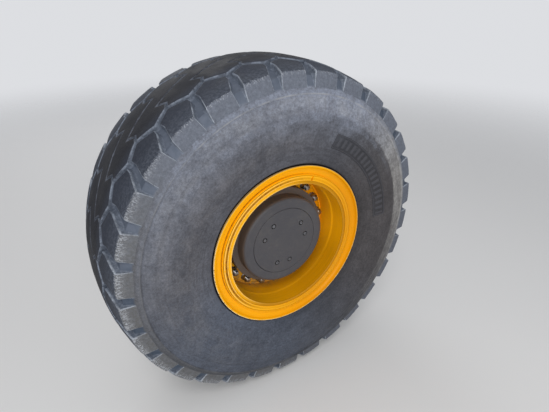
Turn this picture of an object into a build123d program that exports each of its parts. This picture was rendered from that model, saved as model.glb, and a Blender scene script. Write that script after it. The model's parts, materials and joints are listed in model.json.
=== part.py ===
"""Wheel of an articulated loader, with its planetary hub, on the end of its axle arm.

Frame, in millimetres: the origin is the centre of the axle arm's mounting face, +Y points along
the wheel's axis towards the axle's middle, +X points to the rear of the machine and +Z is up.
Outboard is -Y. Angles round the axis are counted from +X towards +Z, as the wheel is seen from
outside.
"""

import os
from math import cos, radians, sin, tan

from build123d import *

# Tyre and rim sizes: a 23.5R25 tyre, worn, on a 25-19.50/2.5 five-piece rim
BEAD_SEAT_R = 317.5          # nominal 25 inch rim
RIM_WIDTH = 495.3            # between the flanges, 19.5 inch
FLANGE_HEIGHT = 63.5         # 2.5 inch above the bead seat
FLANGE_OVERHANG = 28.3       # the flange's roll, outside the tyre's bead
TYRE_R = 784.0               # at the crown
TYRE_HALF_SECTION = 300.0    # widest point of the sidewall from the middle plane
SHOULDER_R = 750.0
TREAD_HALF_WIDTH = 257.0
WHEEL_OFFSET = 480.0         # middle plane of the tyre, outboard of the mounting face

TREAD_WALL = 78.0            # casing and rubber at the crown
SIDE_WALL = 74.0             # sidewall under the shoulder
BEAD_GAP = 9.0               # sidewall beside the flange's rolled edge
BEAD_TOE_HEIGHT = 12.0

# Tread
LUG_COUNT = 30               # on each side
TREAD_PHASE = -1.0           # degrees, where the two sides of the tread mirror through a point
GROOVE_TURN = 1.0            # degrees, an outboard groove's shoulder end from that point
GROOVE_DEPTH = 24.0
LUG_WIDTH = 112.0            # along the tread, at the shoulder
LUG_ROOT_WIDTH = 130.0       # along the tread, beside the centre band
LUG_SLANT = 28.0             # how far a lug's inner end is shifted along the tread
LUG_FOOT_R = 690.0           # where the lugs' flanks run out on the sidewall
LUG_ROOT = 10.0              # sunk into the casing
LUG_DROP = 6.5               # of its top and foot below what they are sunk in
FLANK_HALF_WIDTH = 272.0     # at the lugs' feet
CENTRE_HALF_WIDTH = 128.0

# Rim pieces
RIM_WALL = 12.0
GUTTER_DROP = 6.5            # gutter lip and the base under the band, below the bead seat
GUTTER_RECESS = 10.0         # lip face behind the flange's edge
GUTTER_LENGTH = 82.0
GUTTER_STEP = 3.0            # the gutter's bore against the base's bore
LOCK_GROOVE_DEPTH = 10.5
GUTTER_LIP = 12.0
LIP_CHAMFER = 2.5
LOCK_RING_HEIGHT = 23.0      # above the gutter lip
LOCK_RING_EDGE = 3.5         # straight rim outside its cone
LOCK_RING_WIDTH = 16.0       # of its foot, in the groove
LOCK_RING_GAP = 9.0          # the split
LOCK_RING_ANGLE = 72.0       # degrees
BAND_SHOULDER_HEIGHT = 4.5   # above the lock ring; it holds the flange ring
BAND_SHOULDER = 12.0         # its thickness
BAND_SEAT = 41.0             # length of the bead seat on the band
SEAT_TAPER = 4.5             # degrees
BEAD_WIDTH = 75.0
FLANGE_PLATE = 8.0           # foot of the flange ring

# Wheel disc and studs
DISC_FACE = 91.0             # outboard face, outboard of the middle plane
DISC_THICKNESS = 18.0
STUD_COUNT = 19
STUD_PCD = 524.0
STUD_PHASE = 7.8             # degrees
STUD_R = 11.0
STUD_LENGTH_OUT = 41.0       # beyond the disc's face
STUD_HEAD_R = 16.0
STUD_HEAD = 9.0
NUT_ACROSS_FLATS = 32.0
NUT_HEIGHT = 24.0
NUT_COLLAR_R = 20.5
NUT_COLLAR = 5.0

# Hub
DRUM_R = 211.0
DRUM_FACE = 213.0            # outboard face, outboard of the middle plane
DRUM_CORNER = 16.0
DRUM_WALL = 20.0
DRUM_DEPTH = 60.0            # from its face to its flange
DRUM_FLANGE_R = 240.0
DRUM_FLANGE = 28.0
HUB_FLANGE_R = 282.0
HUB_FLANGE = 26.0
HUB_BARREL_R = 196.0
HUB_BARREL_LENGTH = 160.0    # inboard of its flange
HUB_WALL = 26.0
COVER_R = 161.5
COVER_THICKNESS = 12.0
COVER_SEAM = 1.5
COVER_PROUD = 1.0
COVER_SEAT = 8.0             # of the cover on the housing, radial
COVER_SCREW_PCD = 223.0
COVER_SCREW_ANGLES = (3.0, 38.8, 122.4, 160.7, 248.4, 284.3)
COVER_SCREW_R = 8.5
COVER_SCREW_HEAD = 6.0
COVER_SCREW_SHANK_R = 5.0
COVER_SCREW_SINK = 5.0       # of its seat below the cover's face
HOUSING_SCREW_COUNT = 3
HOUSING_SCREW_PHASE = 10.0
HOUSING_SCREW_R = 8.0
HOUSING_SCREW_SHANK_R = 5.5
HOUSING_SCREW_HEAD = 7.0
HOUSING_SCREW_GRIP = 30.0    # in the hub body

# Spindle, bearings, shaft and planet gears
SPINDLE_R = 90.0
SPINDLE_BORE_R = 44.0
SPINDLE_FLANGE_R = 165.0
SPINDLE_FLANGE = 22.0
OUTER_BEARING_R = 74.0       # the spindle under the outer bearing
BEARING_HEIGHT = 36.0        # radial
BEARING_WIDTH = 42.0
BEARING_FIT = 0.05           # running clearance on the spindle
BEARING_AHEAD = 4.0          # outer bearing's end, outboard of the disc's face
SHAFT_R = 32.0
SUN_R = 46.0
SPLINE_COUNT = 16
SPLINE_DEPTH = 4.0
SPLINE_LENGTH = 70.0
SHAFT_OUT = 46.0             # beyond the mounting face
PLANETS_R = 148.0
PLANETS_LENGTH = 70.0
SEAL_WIDTH = 38.0            # radial
SEAL_LENGTH = 18.0

# Axle arm
ARM_FLANGE_EDGE = 25.0       # outside its bolt circle
ARM_FLANGE = 28.0
ARM_BOLT_PCD = 360.0
ARM_BOLT_COUNT = 16
ARM_BOLT_HOLE_R = 11.0
ARM_NECK_R = 122.0
ARM_NECK_LENGTH = 90.0       # of its straight part, from the mounting flange
BELL_R = 186.0
BELL_LENGTH = 60.0
BELL_FLANGE = 20.0
ARM_BORE_R = 62.0
RIB_COUNT = 8
RIB = 16.0
RIB_WAIST_R = 148.0
BRAKE_R = 226.0
BRAKE_LENGTH = 62.0
BRAKE_BOLT_COUNT = 16
BRAKE_BOLT_R = 6.0
BRAKE_BOLT_HEAD_R = 10.0
BRAKE_BOLT_HEAD = 10.0
BRAKE_BOLT_GRIP = 40.0       # in the brake housing
BREATHER_PLACE = 80.0        # from the mounting face
BREATHER_R = 9.0
BREATHER_HEIGHT = 34.0

# Valve
VALVE_ANGLE = 152.0
VALVE_R = 6.0
VALVE_FOOT = 8.0
VALVE_PLACE = 112.0          # outboard of the middle plane
VALVE_LENGTH = 62.0

# Clearances
FIT = 0.3                    # round pieces on one another
RUNNING_GAP = 6.0            # turning pieces beside fixed ones

# Radii and places along the axis, worked out from the sizes
HOUSING_SCREW_PCD = DRUM_R + DRUM_FLANGE_R
BRAKE_BOLT_PCD = BRAKE_R + BELL_R
ARM_FLANGE_R = ARM_BOLT_PCD / 2 + ARM_FLANGE_EDGE
MID_Y = -WHEEL_OFFSET
HALF_RIM = RIM_WIDTH / 2
LIP = HALF_RIM + FLANGE_OVERHANG                 # rolled edge from the middle plane
FLANGE_R = BEAD_SEAT_R + FLANGE_HEIGHT
GUTTER_R = BEAD_SEAT_R - GUTTER_DROP
GROOVE_FLOOR_R = GUTTER_R - LOCK_GROOVE_DEPTH
LOCK_RING_R = GUTTER_R + LOCK_RING_HEIGHT
BAND_SHOULDER_R = LOCK_RING_R + BAND_SHOULDER_HEIGHT
GUTTER_BORE_R = GUTTER_R - RIM_WALL - GUTTER_STEP
BASE_BORE_R = GUTTER_BORE_R - GUTTER_STEP
BASE_R = BASE_BORE_R + RIM_WALL
DISC_BACK = DISC_FACE - DISC_THICKNESS
DISC_FACE_Y = MID_Y - DISC_FACE
DISC_BACK_Y = MID_Y - DISC_BACK
HUB_FLANGE_BACK_Y = DISC_BACK_Y + HUB_FLANGE
HUB_END_Y = HUB_FLANGE_BACK_Y + HUB_BARREL_LENGTH
DRUM_FACE_Y = MID_Y - DRUM_FACE
DRUM_FLANGE_FACE_Y = DRUM_FACE_Y + DRUM_DEPTH
DRUM_BACK_Y = DRUM_FLANGE_FACE_Y + DRUM_FLANGE
COVER_SEAT_Y = DRUM_FACE_Y + COVER_THICKNESS
BRAKE_FACE_Y = HUB_END_Y + RUNNING_GAP
BRAKE_BACK_Y = BRAKE_FACE_Y + BRAKE_LENGTH
BELL_FLANGE_Y = BRAKE_BACK_Y + BELL_FLANGE
SPINDLE_END_Y = DRUM_BACK_Y + RUNNING_GAP
OUTER_BEARING_Y = DISC_FACE_Y - BEARING_AHEAD
INNER_BEARING_Y = HUB_END_Y - HUB_WALL - BEARING_WIDTH
SEAL_R = SPINDLE_R + RUNNING_GAP + SEAL_WIDTH
OUT = -1                     # side of the tyre away from the machine
IN = 1


def outward(y):
    """Plane across the axis at y: X and Z are its own x and y, and it faces outboard."""
    return Plane.XZ.offset(-y)


def rim_point(radius, across, side=OUT):
    """Point of a wheel section: radius, and distance across from the middle plane."""
    return (radius, MID_Y + side * across)


def section(name_of_points, side=OUT):
    """Section points (radius, across) as points of the plane through the axis."""
    return [rim_point(radius, across, side) for radius, across in name_of_points]


def seat_radius(across):
    """Radius of the tapered bead seat at a distance across from the middle plane."""
    return BEAD_SEAT_R - (HALF_RIM - across) * tan(radians(SEAT_TAPER))


os.makedirs("parts", exist_ok=True)


def write(part, name):
    """Label a finished piece and write its file."""
    part.label = name
    export_step(part, f"parts/{name}.step")


# Tyre: outer wall and cavity of one half, from the bead's toe to the crown
BEAD_TOE = HALF_RIM - BEAD_WIDTH
HALF_SLICE = 90 / LUG_COUNT      # degrees
CENTRE_R = TYRE_R * cos(radians(HALF_SLICE))
BULGE_R = (FLANGE_R + SHOULDER_R) / 2
CASING = [                   # (radius, across)
    (seat_radius(BEAD_TOE) + FIT, BEAD_TOE),
    (BEAD_SEAT_R + FIT, HALF_RIM),
    (FLANGE_R - FLANGE_OVERHANG + BEAD_GAP, HALF_RIM),
    (FLANGE_R + BEAD_GAP, LIP - BEAD_GAP),
    (BULGE_R, TYRE_HALF_SECTION),
    (LUG_FOOT_R, FLANK_HALF_WIDTH),
    (CENTRE_R - GROOVE_DEPTH, TREAD_HALF_WIDTH - GROOVE_DEPTH),
    (CENTRE_R - GROOVE_DEPTH, CENTRE_HALF_WIDTH),
    (CENTRE_R, CENTRE_HALF_WIDTH),
]
CAVITY = [                   # (radius, across)
    (CENTRE_R - TREAD_WALL, TYRE_HALF_SECTION - SIDE_WALL),
    (seat_radius(BEAD_TOE) + BEAD_TOE_HEIGHT, BEAD_TOE),
]

# Tyre: a ring of flat-sided slices, two to each lug, with a raised band in the middle of its tread
with BuildPart() as slice_of_tyre:
    with BuildSketch(Plane.XZ):
        with BuildLine():
            Polyline(
                *CASING,
                *[(radius, -across) for radius, across in reversed(CASING)],
                *[(radius, -across) for radius, across in reversed(CAVITY)],
                *CAVITY,
                close=True,
            )
        make_face()
    extrude(amount=LUG_WIDTH, both=True)
    with BuildSketch(Plane.XY):
        with BuildLine():
            Polyline(
                (0, 0),
                (2 * TYRE_R, -2 * TYRE_R * tan(radians(HALF_SLICE))),
                (2 * TYRE_R, 2 * TYRE_R * tan(radians(HALF_SLICE))),
                close=True,
            )
        make_face()
    extrude(amount=TYRE_R, both=True, mode=Mode.INTERSECT)

# Lug: flat on top and on its flank, sunk into the casing. Its side view and its slanted plan are
# drawn about the lug's own middle, X radial and Z outboard, and crossed.
LUG_SIDE = [                 # (radius, across)
    (CENTRE_R - LUG_DROP, CENTRE_HALF_WIDTH - LUG_ROOT),
    (SHOULDER_R, TREAD_HALF_WIDTH),
    (LUG_FOOT_R - LUG_ROOT, FLANK_HALF_WIDTH - LUG_DROP),
    (LUG_FOOT_R - LUG_ROOT, CENTRE_HALF_WIDTH - LUG_ROOT),
]
LUG_PLAN = [                 # (along the tread, across)
    (-LUG_WIDTH / 2, FLANK_HALF_WIDTH),
    (-LUG_WIDTH / 2, TREAD_HALF_WIDTH),
    (-LUG_SLANT - LUG_ROOT_WIDTH / 2, CENTRE_HALF_WIDTH - LUG_ROOT),
    (-LUG_SLANT + LUG_ROOT_WIDTH / 2, CENTRE_HALF_WIDTH - LUG_ROOT),
    (LUG_WIDTH / 2, TREAD_HALF_WIDTH),
    (LUG_WIDTH / 2, FLANK_HALF_WIDTH),
]
with BuildPart() as lug:
    with BuildSketch(Plane.XZ):
        with BuildLine():
            Polyline(*LUG_SIDE, close=True)
        make_face()
    extrude(amount=LUG_WIDTH, both=True)
    with BuildSketch(Plane.YZ):
        with BuildLine():
            Polyline(*LUG_PLAN, close=True)
        make_face()
    extrude(amount=TYRE_R, mode=Mode.INTERSECT)
far_lug = lug.part.rotate(Axis.X, 180)

# Tyre: slices and lugs fused into one solid
HALF_PITCH = 180 / LUG_COUNT
with BuildPart(outward(MID_Y)) as tyre:
    with PolarLocations(0, 2 * LUG_COUNT, start_angle=TREAD_PHASE):
        add(slice_of_tyre.part)
    with PolarLocations(0, LUG_COUNT, start_angle=TREAD_PHASE + GROOVE_TURN + HALF_PITCH):
        add(lug.part)
    with PolarLocations(0, LUG_COUNT, start_angle=TREAD_PHASE - GROOVE_TURN + HALF_PITCH):
        add(far_lug)
write(tyre.part, "tyre")

# Rim base: a rolled tube with the gutter outboard and a fixed bead seat and shoulder inboard
GUTTER_FACE = LIP - GUTTER_RECESS
LOCK_GROOVE_OUT = GUTTER_FACE - GUTTER_LIP
LOCK_GROOVE_IN = LOCK_GROOVE_OUT - LOCK_RING_WIDTH - 2 * FIT
GUTTER_END = GUTTER_FACE - GUTTER_LENGTH
SHOULDER_IN = HALF_RIM + FLANGE_PLATE + FIT
SHOULDER_OUT = SHOULDER_IN + BAND_SHOULDER
with BuildPart() as rim_base:
    with BuildSketch(Plane.XY):
        with BuildLine():
            Polyline(
                *section(
                    [
                        (GUTTER_BORE_R + LIP_CHAMFER, GUTTER_FACE),
                        (GUTTER_R - LIP_CHAMFER, GUTTER_FACE),
                        (GUTTER_R, GUTTER_FACE - LIP_CHAMFER),
                        (GUTTER_R, LOCK_GROOVE_OUT),
                        (GROOVE_FLOOR_R, LOCK_GROOVE_OUT),
                        (GROOVE_FLOOR_R, LOCK_GROOVE_IN),
                        (GUTTER_R, LOCK_GROOVE_IN),
                        (GUTTER_R, GUTTER_END),
                        (BASE_R, GUTTER_END - GUTTER_STEP),
                    ]
                ),
                *section(
                    [
                        (BASE_R, HALF_RIM - BEAD_WIDTH - GUTTER_STEP),
                        (seat_radius(BEAD_TOE), HALF_RIM - BEAD_WIDTH),
                        (BEAD_SEAT_R, HALF_RIM),
                        (BEAD_SEAT_R, SHOULDER_IN),
                        (BAND_SHOULDER_R, SHOULDER_IN),
                        (BAND_SHOULDER_R, SHOULDER_OUT),
                        (BASE_BORE_R + LIP_CHAMFER, SHOULDER_OUT),
                        (BASE_BORE_R, SHOULDER_OUT - LIP_CHAMFER),
                    ],
                    IN,
                ),
                *section(
                    [
                        (BASE_BORE_R, GUTTER_END),
                        (GUTTER_BORE_R, GUTTER_END + GUTTER_STEP),
                        (GUTTER_BORE_R, GUTTER_FACE - LIP_CHAMFER),
                    ]
                ),
                close=True,
            )
        make_face()
    revolve(axis=Axis.Y)
    with Locations(outward(MID_Y - VALVE_PLACE)):
        with PolarLocations(BASE_R, 1, start_angle=VALVE_ANGLE):
            Cylinder(VALVE_R + FIT, 4 * RIM_WALL, rotation=(0, 90, 0), mode=Mode.SUBTRACT)
write(rim_base.part, "rim_base")

# Bead seat band: carries the outboard bead and flange ring, and wedges on the lock ring
with BuildPart() as bead_seat_band:
    with BuildSketch(Plane.XY):
        with BuildLine():
            Polyline(
                *section(
                    [
                        (GUTTER_R + FIT, HALF_RIM - BAND_SEAT),
                        (seat_radius(HALF_RIM - BAND_SEAT), HALF_RIM - BAND_SEAT),
                        (BEAD_SEAT_R, HALF_RIM),
                        (BEAD_SEAT_R, SHOULDER_IN),
                        (BAND_SHOULDER_R, SHOULDER_IN),
                        (BAND_SHOULDER_R, SHOULDER_OUT),
                        (LOCK_RING_R + FIT, SHOULDER_OUT),
                        (LOCK_RING_R + FIT, SHOULDER_OUT - LOCK_RING_EDGE),
                        (GUTTER_R + FIT, SHOULDER_IN - FIT),
                    ]
                ),
                close=True,
            )
        make_face()
    revolve(axis=Axis.Y)
write(bead_seat_band.part, "bead_seat_band")

# Flange rings: loose rings on the bead seats, rolled outwards at their edge
ROLL_R = FLANGE_R - FLANGE_OVERHANG
for side, name in ((OUT, "side_ring_outboard"), (IN, "side_ring_inboard")):
    edge = FLANGE_PLATE * 0.35
    with BuildPart() as side_ring:
        with BuildSketch(Plane.XY):
            with BuildLine():
                Polyline(
                    rim_point(ROLL_R, HALF_RIM + FLANGE_PLATE, side),
                    rim_point(BEAD_SEAT_R + FIT, HALF_RIM + FLANGE_PLATE, side),
                    rim_point(BEAD_SEAT_R + FIT, HALF_RIM, side),
                    rim_point(ROLL_R, HALF_RIM, side),
                )
                roll_outside = ThreePointArc(
                    rim_point(ROLL_R, HALF_RIM, side),
                    rim_point(
                        ROLL_R + FLANGE_OVERHANG * sin(radians(45)),
                        LIP - FLANGE_OVERHANG * cos(radians(45)),
                        side,
                    ),
                    rim_point(FLANGE_R, LIP, side),
                )
                roll = FLANGE_OVERHANG - FLANGE_PLATE
                Line(roll_outside @ 1, rim_point(ROLL_R + roll, LIP, side))
                ThreePointArc(
                    rim_point(ROLL_R + roll, LIP, side),
                    rim_point(
                        ROLL_R + roll * sin(radians(45)), LIP - roll * cos(radians(45)), side
                    ),
                    rim_point(ROLL_R, HALF_RIM + FLANGE_PLATE, side),
                )
            make_face()
        revolve(axis=Axis.Y)
        fillet(
            side_ring.edges().filter_by(GeomType.CIRCLE).sort_by(Axis.Y)[-2:]
            if side == IN
            else side_ring.edges().filter_by(GeomType.CIRCLE).sort_by(Axis.Y)[:2],
            edge,
        )
    write(side_ring.part, name)

# Lock ring: split, in the gutter's groove, its cone under the band
with BuildPart(outward(MID_Y)) as lock_ring:
    with BuildSketch(Plane.XY):
        with BuildLine():
            Polyline(
                *section(
                    [
                        (GROOVE_FLOOR_R + FIT, LOCK_GROOVE_IN + FIT),
                        (GROOVE_FLOOR_R + FIT, LOCK_GROOVE_OUT - FIT),
                        (GUTTER_R + FIT, LOCK_GROOVE_OUT - FIT),
                        (GUTTER_R + FIT, SHOULDER_OUT),
                        (LOCK_RING_R - FIT, SHOULDER_OUT),
                        (LOCK_RING_R, SHOULDER_OUT - FIT),
                        (LOCK_RING_R, SHOULDER_OUT - LOCK_RING_EDGE + FIT),
                        (GUTTER_R, SHOULDER_IN),
                        (GUTTER_R, LOCK_GROOVE_IN + FIT),
                    ]
                ),
                close=True,
            )
        make_face()
    revolve(axis=Axis.Y)
    with PolarLocations(LOCK_RING_R, 1, start_angle=LOCK_RING_ANGLE):
        Box(4 * RIM_WALL, LOCK_RING_GAP, 2 * LIP + RIM_WALL, mode=Mode.SUBTRACT)
write(lock_ring.part, "lock_ring")

# Wheel disc: welded in the base, with the hub's bore and the stud holes
with BuildPart() as wheel_disc:
    with BuildSketch(outward(DISC_BACK_Y)):
        Circle(BASE_BORE_R)
        Circle(DRUM_FLANGE_R + FIT, mode=Mode.SUBTRACT)
        with PolarLocations(STUD_PCD / 2, STUD_COUNT, start_angle=STUD_PHASE):
            Circle(STUD_R + FIT, mode=Mode.SUBTRACT)
    extrude(amount=DISC_THICKNESS)
write(wheel_disc.part, "wheel_disc")

# Valve: stem out of the rim's wall, bent towards the open side, with its cap
with BuildPart(outward(MID_Y - VALVE_PLACE)) as valve:
    with PolarLocations(BASE_R - RIM_WALL / 2, 1, start_angle=VALVE_ANGLE):
        Cylinder(VALVE_R, RIM_WALL + 2 * VALVE_FOOT, rotation=(0, 90, 0))
    with PolarLocations(BASE_BORE_R - VALVE_FOOT, 1, start_angle=VALVE_ANGLE):
        Cylinder(
            VALVE_R * 1.6, VALVE_FOOT, rotation=(0, 90, 0), align=(Align.CENTER, Align.CENTER, Align.CENTER)
        )
    with PolarLocations(BASE_BORE_R - 2 * VALVE_FOOT, 1, start_angle=VALVE_ANGLE):
        Sphere(VALVE_R * 1.4)
        Cylinder(VALVE_R * 0.8, VALVE_LENGTH, align=(Align.CENTER, Align.CENTER, Align.MIN))
write(valve.part, "valve")

# Hub body: the wheel's flange behind the disc, the pilot through it, and the bearing barrel
HUB_BORE_R = OUTER_BEARING_R + BEARING_HEIGHT
INNER_SEAT_R = SPINDLE_R + BEARING_HEIGHT
with BuildPart() as hub_body:
    with BuildSketch(Plane.XY):
        with BuildLine():
            Polyline(
                (HUB_BORE_R + FIT, DRUM_BACK_Y),
                (DRUM_FLANGE_R, DRUM_BACK_Y),
                (DRUM_FLANGE_R, DISC_BACK_Y),
                (HUB_FLANGE_R, DISC_BACK_Y),
                (HUB_FLANGE_R, HUB_FLANGE_BACK_Y),
                (HUB_BARREL_R, HUB_FLANGE_BACK_Y),
                (HUB_BARREL_R, HUB_END_Y),
                (SEAL_R + FIT, HUB_END_Y),
                (SEAL_R + FIT, HUB_END_Y - SEAL_LENGTH),
                (INNER_SEAT_R + FIT, HUB_END_Y - SEAL_LENGTH),
                (INNER_SEAT_R + FIT, INNER_BEARING_Y),
                (HUB_BORE_R + FIT, INNER_BEARING_Y),
                close=True,
            )
        make_face()
    revolve(axis=Axis.Y)
    barrel_root = hub_body.edges().filter_by(GeomType.CIRCLE).filter_by(
        lambda edge: abs(edge.radius - HUB_BARREL_R) < FIT
    )
    fillet(barrel_root.sort_by(Axis.Y)[0], HUB_FLANGE / 2)
    with BuildSketch(outward(HUB_FLANGE_BACK_Y)):
        with PolarLocations(STUD_PCD / 2, STUD_COUNT, start_angle=STUD_PHASE):
            Circle(STUD_R + FIT)
    extrude(amount=HUB_FLANGE, mode=Mode.SUBTRACT)
    with BuildSketch(outward(DRUM_BACK_Y)):
        with PolarLocations(HOUSING_SCREW_PCD / 2, HOUSING_SCREW_COUNT, start_angle=HOUSING_SCREW_PHASE):
            Circle(HOUSING_SCREW_SHANK_R + FIT)
    extrude(amount=-HOUSING_SCREW_GRIP - 2 * FIT, mode=Mode.SUBTRACT)
write(hub_body.part, "hub_body")

# Hub seal: a ring that turns with the hub, round the spindle's flange side
with BuildPart() as hub_seal:
    with BuildSketch(outward(HUB_END_Y)):
        Circle(SEAL_R)
        Circle(SPINDLE_R + RUNNING_GAP, mode=Mode.SUBTRACT)
    extrude(amount=SEAL_LENGTH)
write(hub_seal.part, "hub_seal")

# Bearings: the two tapered bearings, each as one plain ring
for name, bore, near_y in (
    ("inner_bearing", SPINDLE_R, INNER_BEARING_Y + BEARING_WIDTH),
    ("outer_bearing", OUTER_BEARING_R, OUTER_BEARING_Y + BEARING_WIDTH),
):
    with BuildPart() as bearing:
        with BuildSketch(outward(near_y)):
            Circle(bore + BEARING_HEIGHT)
            Circle(bore + BEARING_FIT, mode=Mode.SUBTRACT)
        extrude(amount=BEARING_WIDTH)
    write(bearing.part, name)

# Planet housing: the drum in the wheel's dish, with its flange against the hub's pilot
with BuildPart() as planet_housing:
    with BuildSketch(Plane.XY):
        with BuildLine():
            Polyline(
                (DRUM_R - DRUM_WALL, DRUM_BACK_Y),
                (DRUM_FLANGE_R, DRUM_BACK_Y),
                (DRUM_FLANGE_R, DRUM_FLANGE_FACE_Y),
                (DRUM_R, DRUM_FLANGE_FACE_Y),
                (DRUM_R, DRUM_FACE_Y),
                (COVER_R + COVER_SEAM, DRUM_FACE_Y),
                (COVER_R + COVER_SEAM, COVER_SEAT_Y),
                (COVER_R - COVER_SEAT, COVER_SEAT_Y),
                (COVER_R - COVER_SEAT, COVER_SEAT_Y + DRUM_WALL),
                (DRUM_R - DRUM_WALL, COVER_SEAT_Y + DRUM_WALL),
                close=True,
            )
        make_face()
    revolve(axis=Axis.Y)
    rims = planet_housing.edges().filter_by(GeomType.CIRCLE)
    drum_edges = rims.filter_by(lambda edge: abs(edge.radius - DRUM_R) < FIT).sort_by(Axis.Y)
    fillet(drum_edges[0], DRUM_CORNER)
    rims = planet_housing.edges().filter_by(GeomType.CIRCLE)
    drum_edges = rims.filter_by(lambda edge: abs(edge.radius - DRUM_R) < FIT).sort_by(Axis.Y)
    fillet(drum_edges[-1], DRUM_CORNER / 3)
    with BuildSketch(outward(DRUM_FLANGE_FACE_Y)):
        with PolarLocations(HOUSING_SCREW_PCD / 2, HOUSING_SCREW_COUNT, start_angle=HOUSING_SCREW_PHASE):
            Circle(HOUSING_SCREW_SHANK_R + FIT)
    extrude(amount=-DRUM_FLANGE, mode=Mode.SUBTRACT)
write(planet_housing.part, "planet_housing")

# Planet gears: the closed gear train, as one plain ring at its real place
with BuildPart() as planet_gears:
    with BuildSketch(outward(COVER_SEAT_Y + PLANETS_LENGTH)):
        Circle(PLANETS_R)
        Circle(SUN_R + FIT, mode=Mode.SUBTRACT)
    extrude(amount=PLANETS_LENGTH)
write(planet_gears.part, "planet_gears")

# Hub cover: a round plate in the drum's recess, with its countersunk screw places
with BuildPart() as hub_cover:
    with BuildSketch(outward(COVER_SEAT_Y)):
        Circle(COVER_R)
    extrude(amount=COVER_THICKNESS + COVER_PROUD)
    chamfer(hub_cover.edges().sort_by(Axis.Y)[0], COVER_PROUD)
    for angle in COVER_SCREW_ANGLES:
        with BuildSketch(outward(DRUM_FACE_Y - COVER_PROUD)):
            with PolarLocations(COVER_SCREW_PCD / 2, 1, start_angle=angle):
                Circle(COVER_SCREW_R + COVER_SEAM)
        extrude(amount=-COVER_SCREW_SINK, mode=Mode.SUBTRACT)
        with BuildSketch(outward(COVER_SEAT_Y)):
            with PolarLocations(COVER_SCREW_PCD / 2, 1, start_angle=angle):
                Circle(COVER_SCREW_SHANK_R + FIT)
        extrude(amount=COVER_THICKNESS, mode=Mode.SUBTRACT)
write(hub_cover.part, "hub_cover")

# Cover screws: hexagon heads in pairs, one pair beside each planet
COVER_SCREW_SEAT_Y = DRUM_FACE_Y - COVER_PROUD + COVER_SCREW_SINK
with BuildPart() as cover_screws:
    for angle in COVER_SCREW_ANGLES:
        with BuildSketch(outward(COVER_SCREW_SEAT_Y)):
            with PolarLocations(COVER_SCREW_PCD / 2, 1, start_angle=angle):
                RegularPolygon(COVER_SCREW_R, 6)
        extrude(amount=COVER_SCREW_HEAD)
        with BuildSketch(outward(COVER_SEAT_Y)):
            with PolarLocations(COVER_SCREW_PCD / 2, 1, start_angle=angle):
                Circle(COVER_SCREW_SHANK_R)
        extrude(amount=COVER_SEAT_Y - COVER_SCREW_SEAT_Y)
write(cover_screws.part, "cover_screws")

# Housing screws: cap screws in the drum's flange
with BuildPart() as housing_screws:
    with BuildSketch(outward(DRUM_FLANGE_FACE_Y)):
        with PolarLocations(HOUSING_SCREW_PCD / 2, HOUSING_SCREW_COUNT, start_angle=HOUSING_SCREW_PHASE):
            Circle(HOUSING_SCREW_R)
    extrude(amount=HOUSING_SCREW_HEAD)
    with BuildSketch(outward(DRUM_FLANGE_FACE_Y - HOUSING_SCREW_HEAD)):
        with PolarLocations(HOUSING_SCREW_PCD / 2, HOUSING_SCREW_COUNT, start_angle=HOUSING_SCREW_PHASE):
            RegularPolygon(HOUSING_SCREW_R / 2, 6)
    extrude(amount=-HOUSING_SCREW_HEAD / 2, mode=Mode.SUBTRACT)
    with BuildSketch(outward(DRUM_FLANGE_FACE_Y)):
        with PolarLocations(HOUSING_SCREW_PCD / 2, HOUSING_SCREW_COUNT, start_angle=HOUSING_SCREW_PHASE):
            Circle(HOUSING_SCREW_SHANK_R)
    extrude(amount=-DRUM_FLANGE - HOUSING_SCREW_GRIP)
write(housing_screws.part, "housing_screws")

# Wheel studs: pressed through the hub's flange from behind, threaded through the disc
with BuildPart() as wheel_studs:
    with BuildSketch(outward(HUB_FLANGE_BACK_Y + STUD_HEAD)):
        with PolarLocations(STUD_PCD / 2, STUD_COUNT, start_angle=STUD_PHASE):
            Circle(STUD_HEAD_R)
    extrude(amount=STUD_HEAD)
    with BuildSketch(outward(HUB_FLANGE_BACK_Y)):
        with PolarLocations(STUD_PCD / 2, STUD_COUNT, start_angle=STUD_PHASE):
            Circle(STUD_R)
    extrude(amount=HUB_FLANGE + DISC_THICKNESS + STUD_LENGTH_OUT)
write(wheel_studs.part, "wheel_studs")

# Wheel nuts: hexagons on a round collar
with BuildPart() as wheel_nuts:
    with BuildSketch(outward(DISC_FACE_Y)):
        with PolarLocations(STUD_PCD / 2, STUD_COUNT, start_angle=STUD_PHASE):
            Circle(NUT_COLLAR_R)
    extrude(amount=NUT_COLLAR)
    with BuildSketch(outward(DISC_FACE_Y - NUT_COLLAR)):
        with PolarLocations(STUD_PCD / 2, STUD_COUNT, start_angle=STUD_PHASE):
            RegularPolygon(NUT_ACROSS_FLATS / 2, 6, major_radius=False)
    extrude(amount=NUT_HEIGHT)
    with BuildSketch(outward(DISC_FACE_Y)):
        with PolarLocations(STUD_PCD / 2, STUD_COUNT, start_angle=STUD_PHASE):
            Circle(STUD_R + FIT)
    extrude(amount=NUT_COLLAR + NUT_HEIGHT, mode=Mode.SUBTRACT)
write(wheel_nuts.part, "wheel_nuts")

# Spindle: flanged tube that carries both bearings
with BuildPart() as spindle:
    with BuildSketch(Plane.XY):
        with BuildLine():
            Polyline(
                (SPINDLE_BORE_R, BRAKE_FACE_Y + SPINDLE_FLANGE),
                (SPINDLE_FLANGE_R, BRAKE_FACE_Y + SPINDLE_FLANGE),
                (SPINDLE_FLANGE_R, BRAKE_FACE_Y),
                (SPINDLE_R, BRAKE_FACE_Y),
                (SPINDLE_R, INNER_BEARING_Y - RUNNING_GAP),
                (OUTER_BEARING_R, OUTER_BEARING_Y + BEARING_WIDTH + RUNNING_GAP),
                (OUTER_BEARING_R, SPINDLE_END_Y),
                (SPINDLE_BORE_R, SPINDLE_END_Y),
                close=True,
            )
        make_face()
    revolve(axis=Axis.Y)
write(spindle.part, "spindle")

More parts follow.
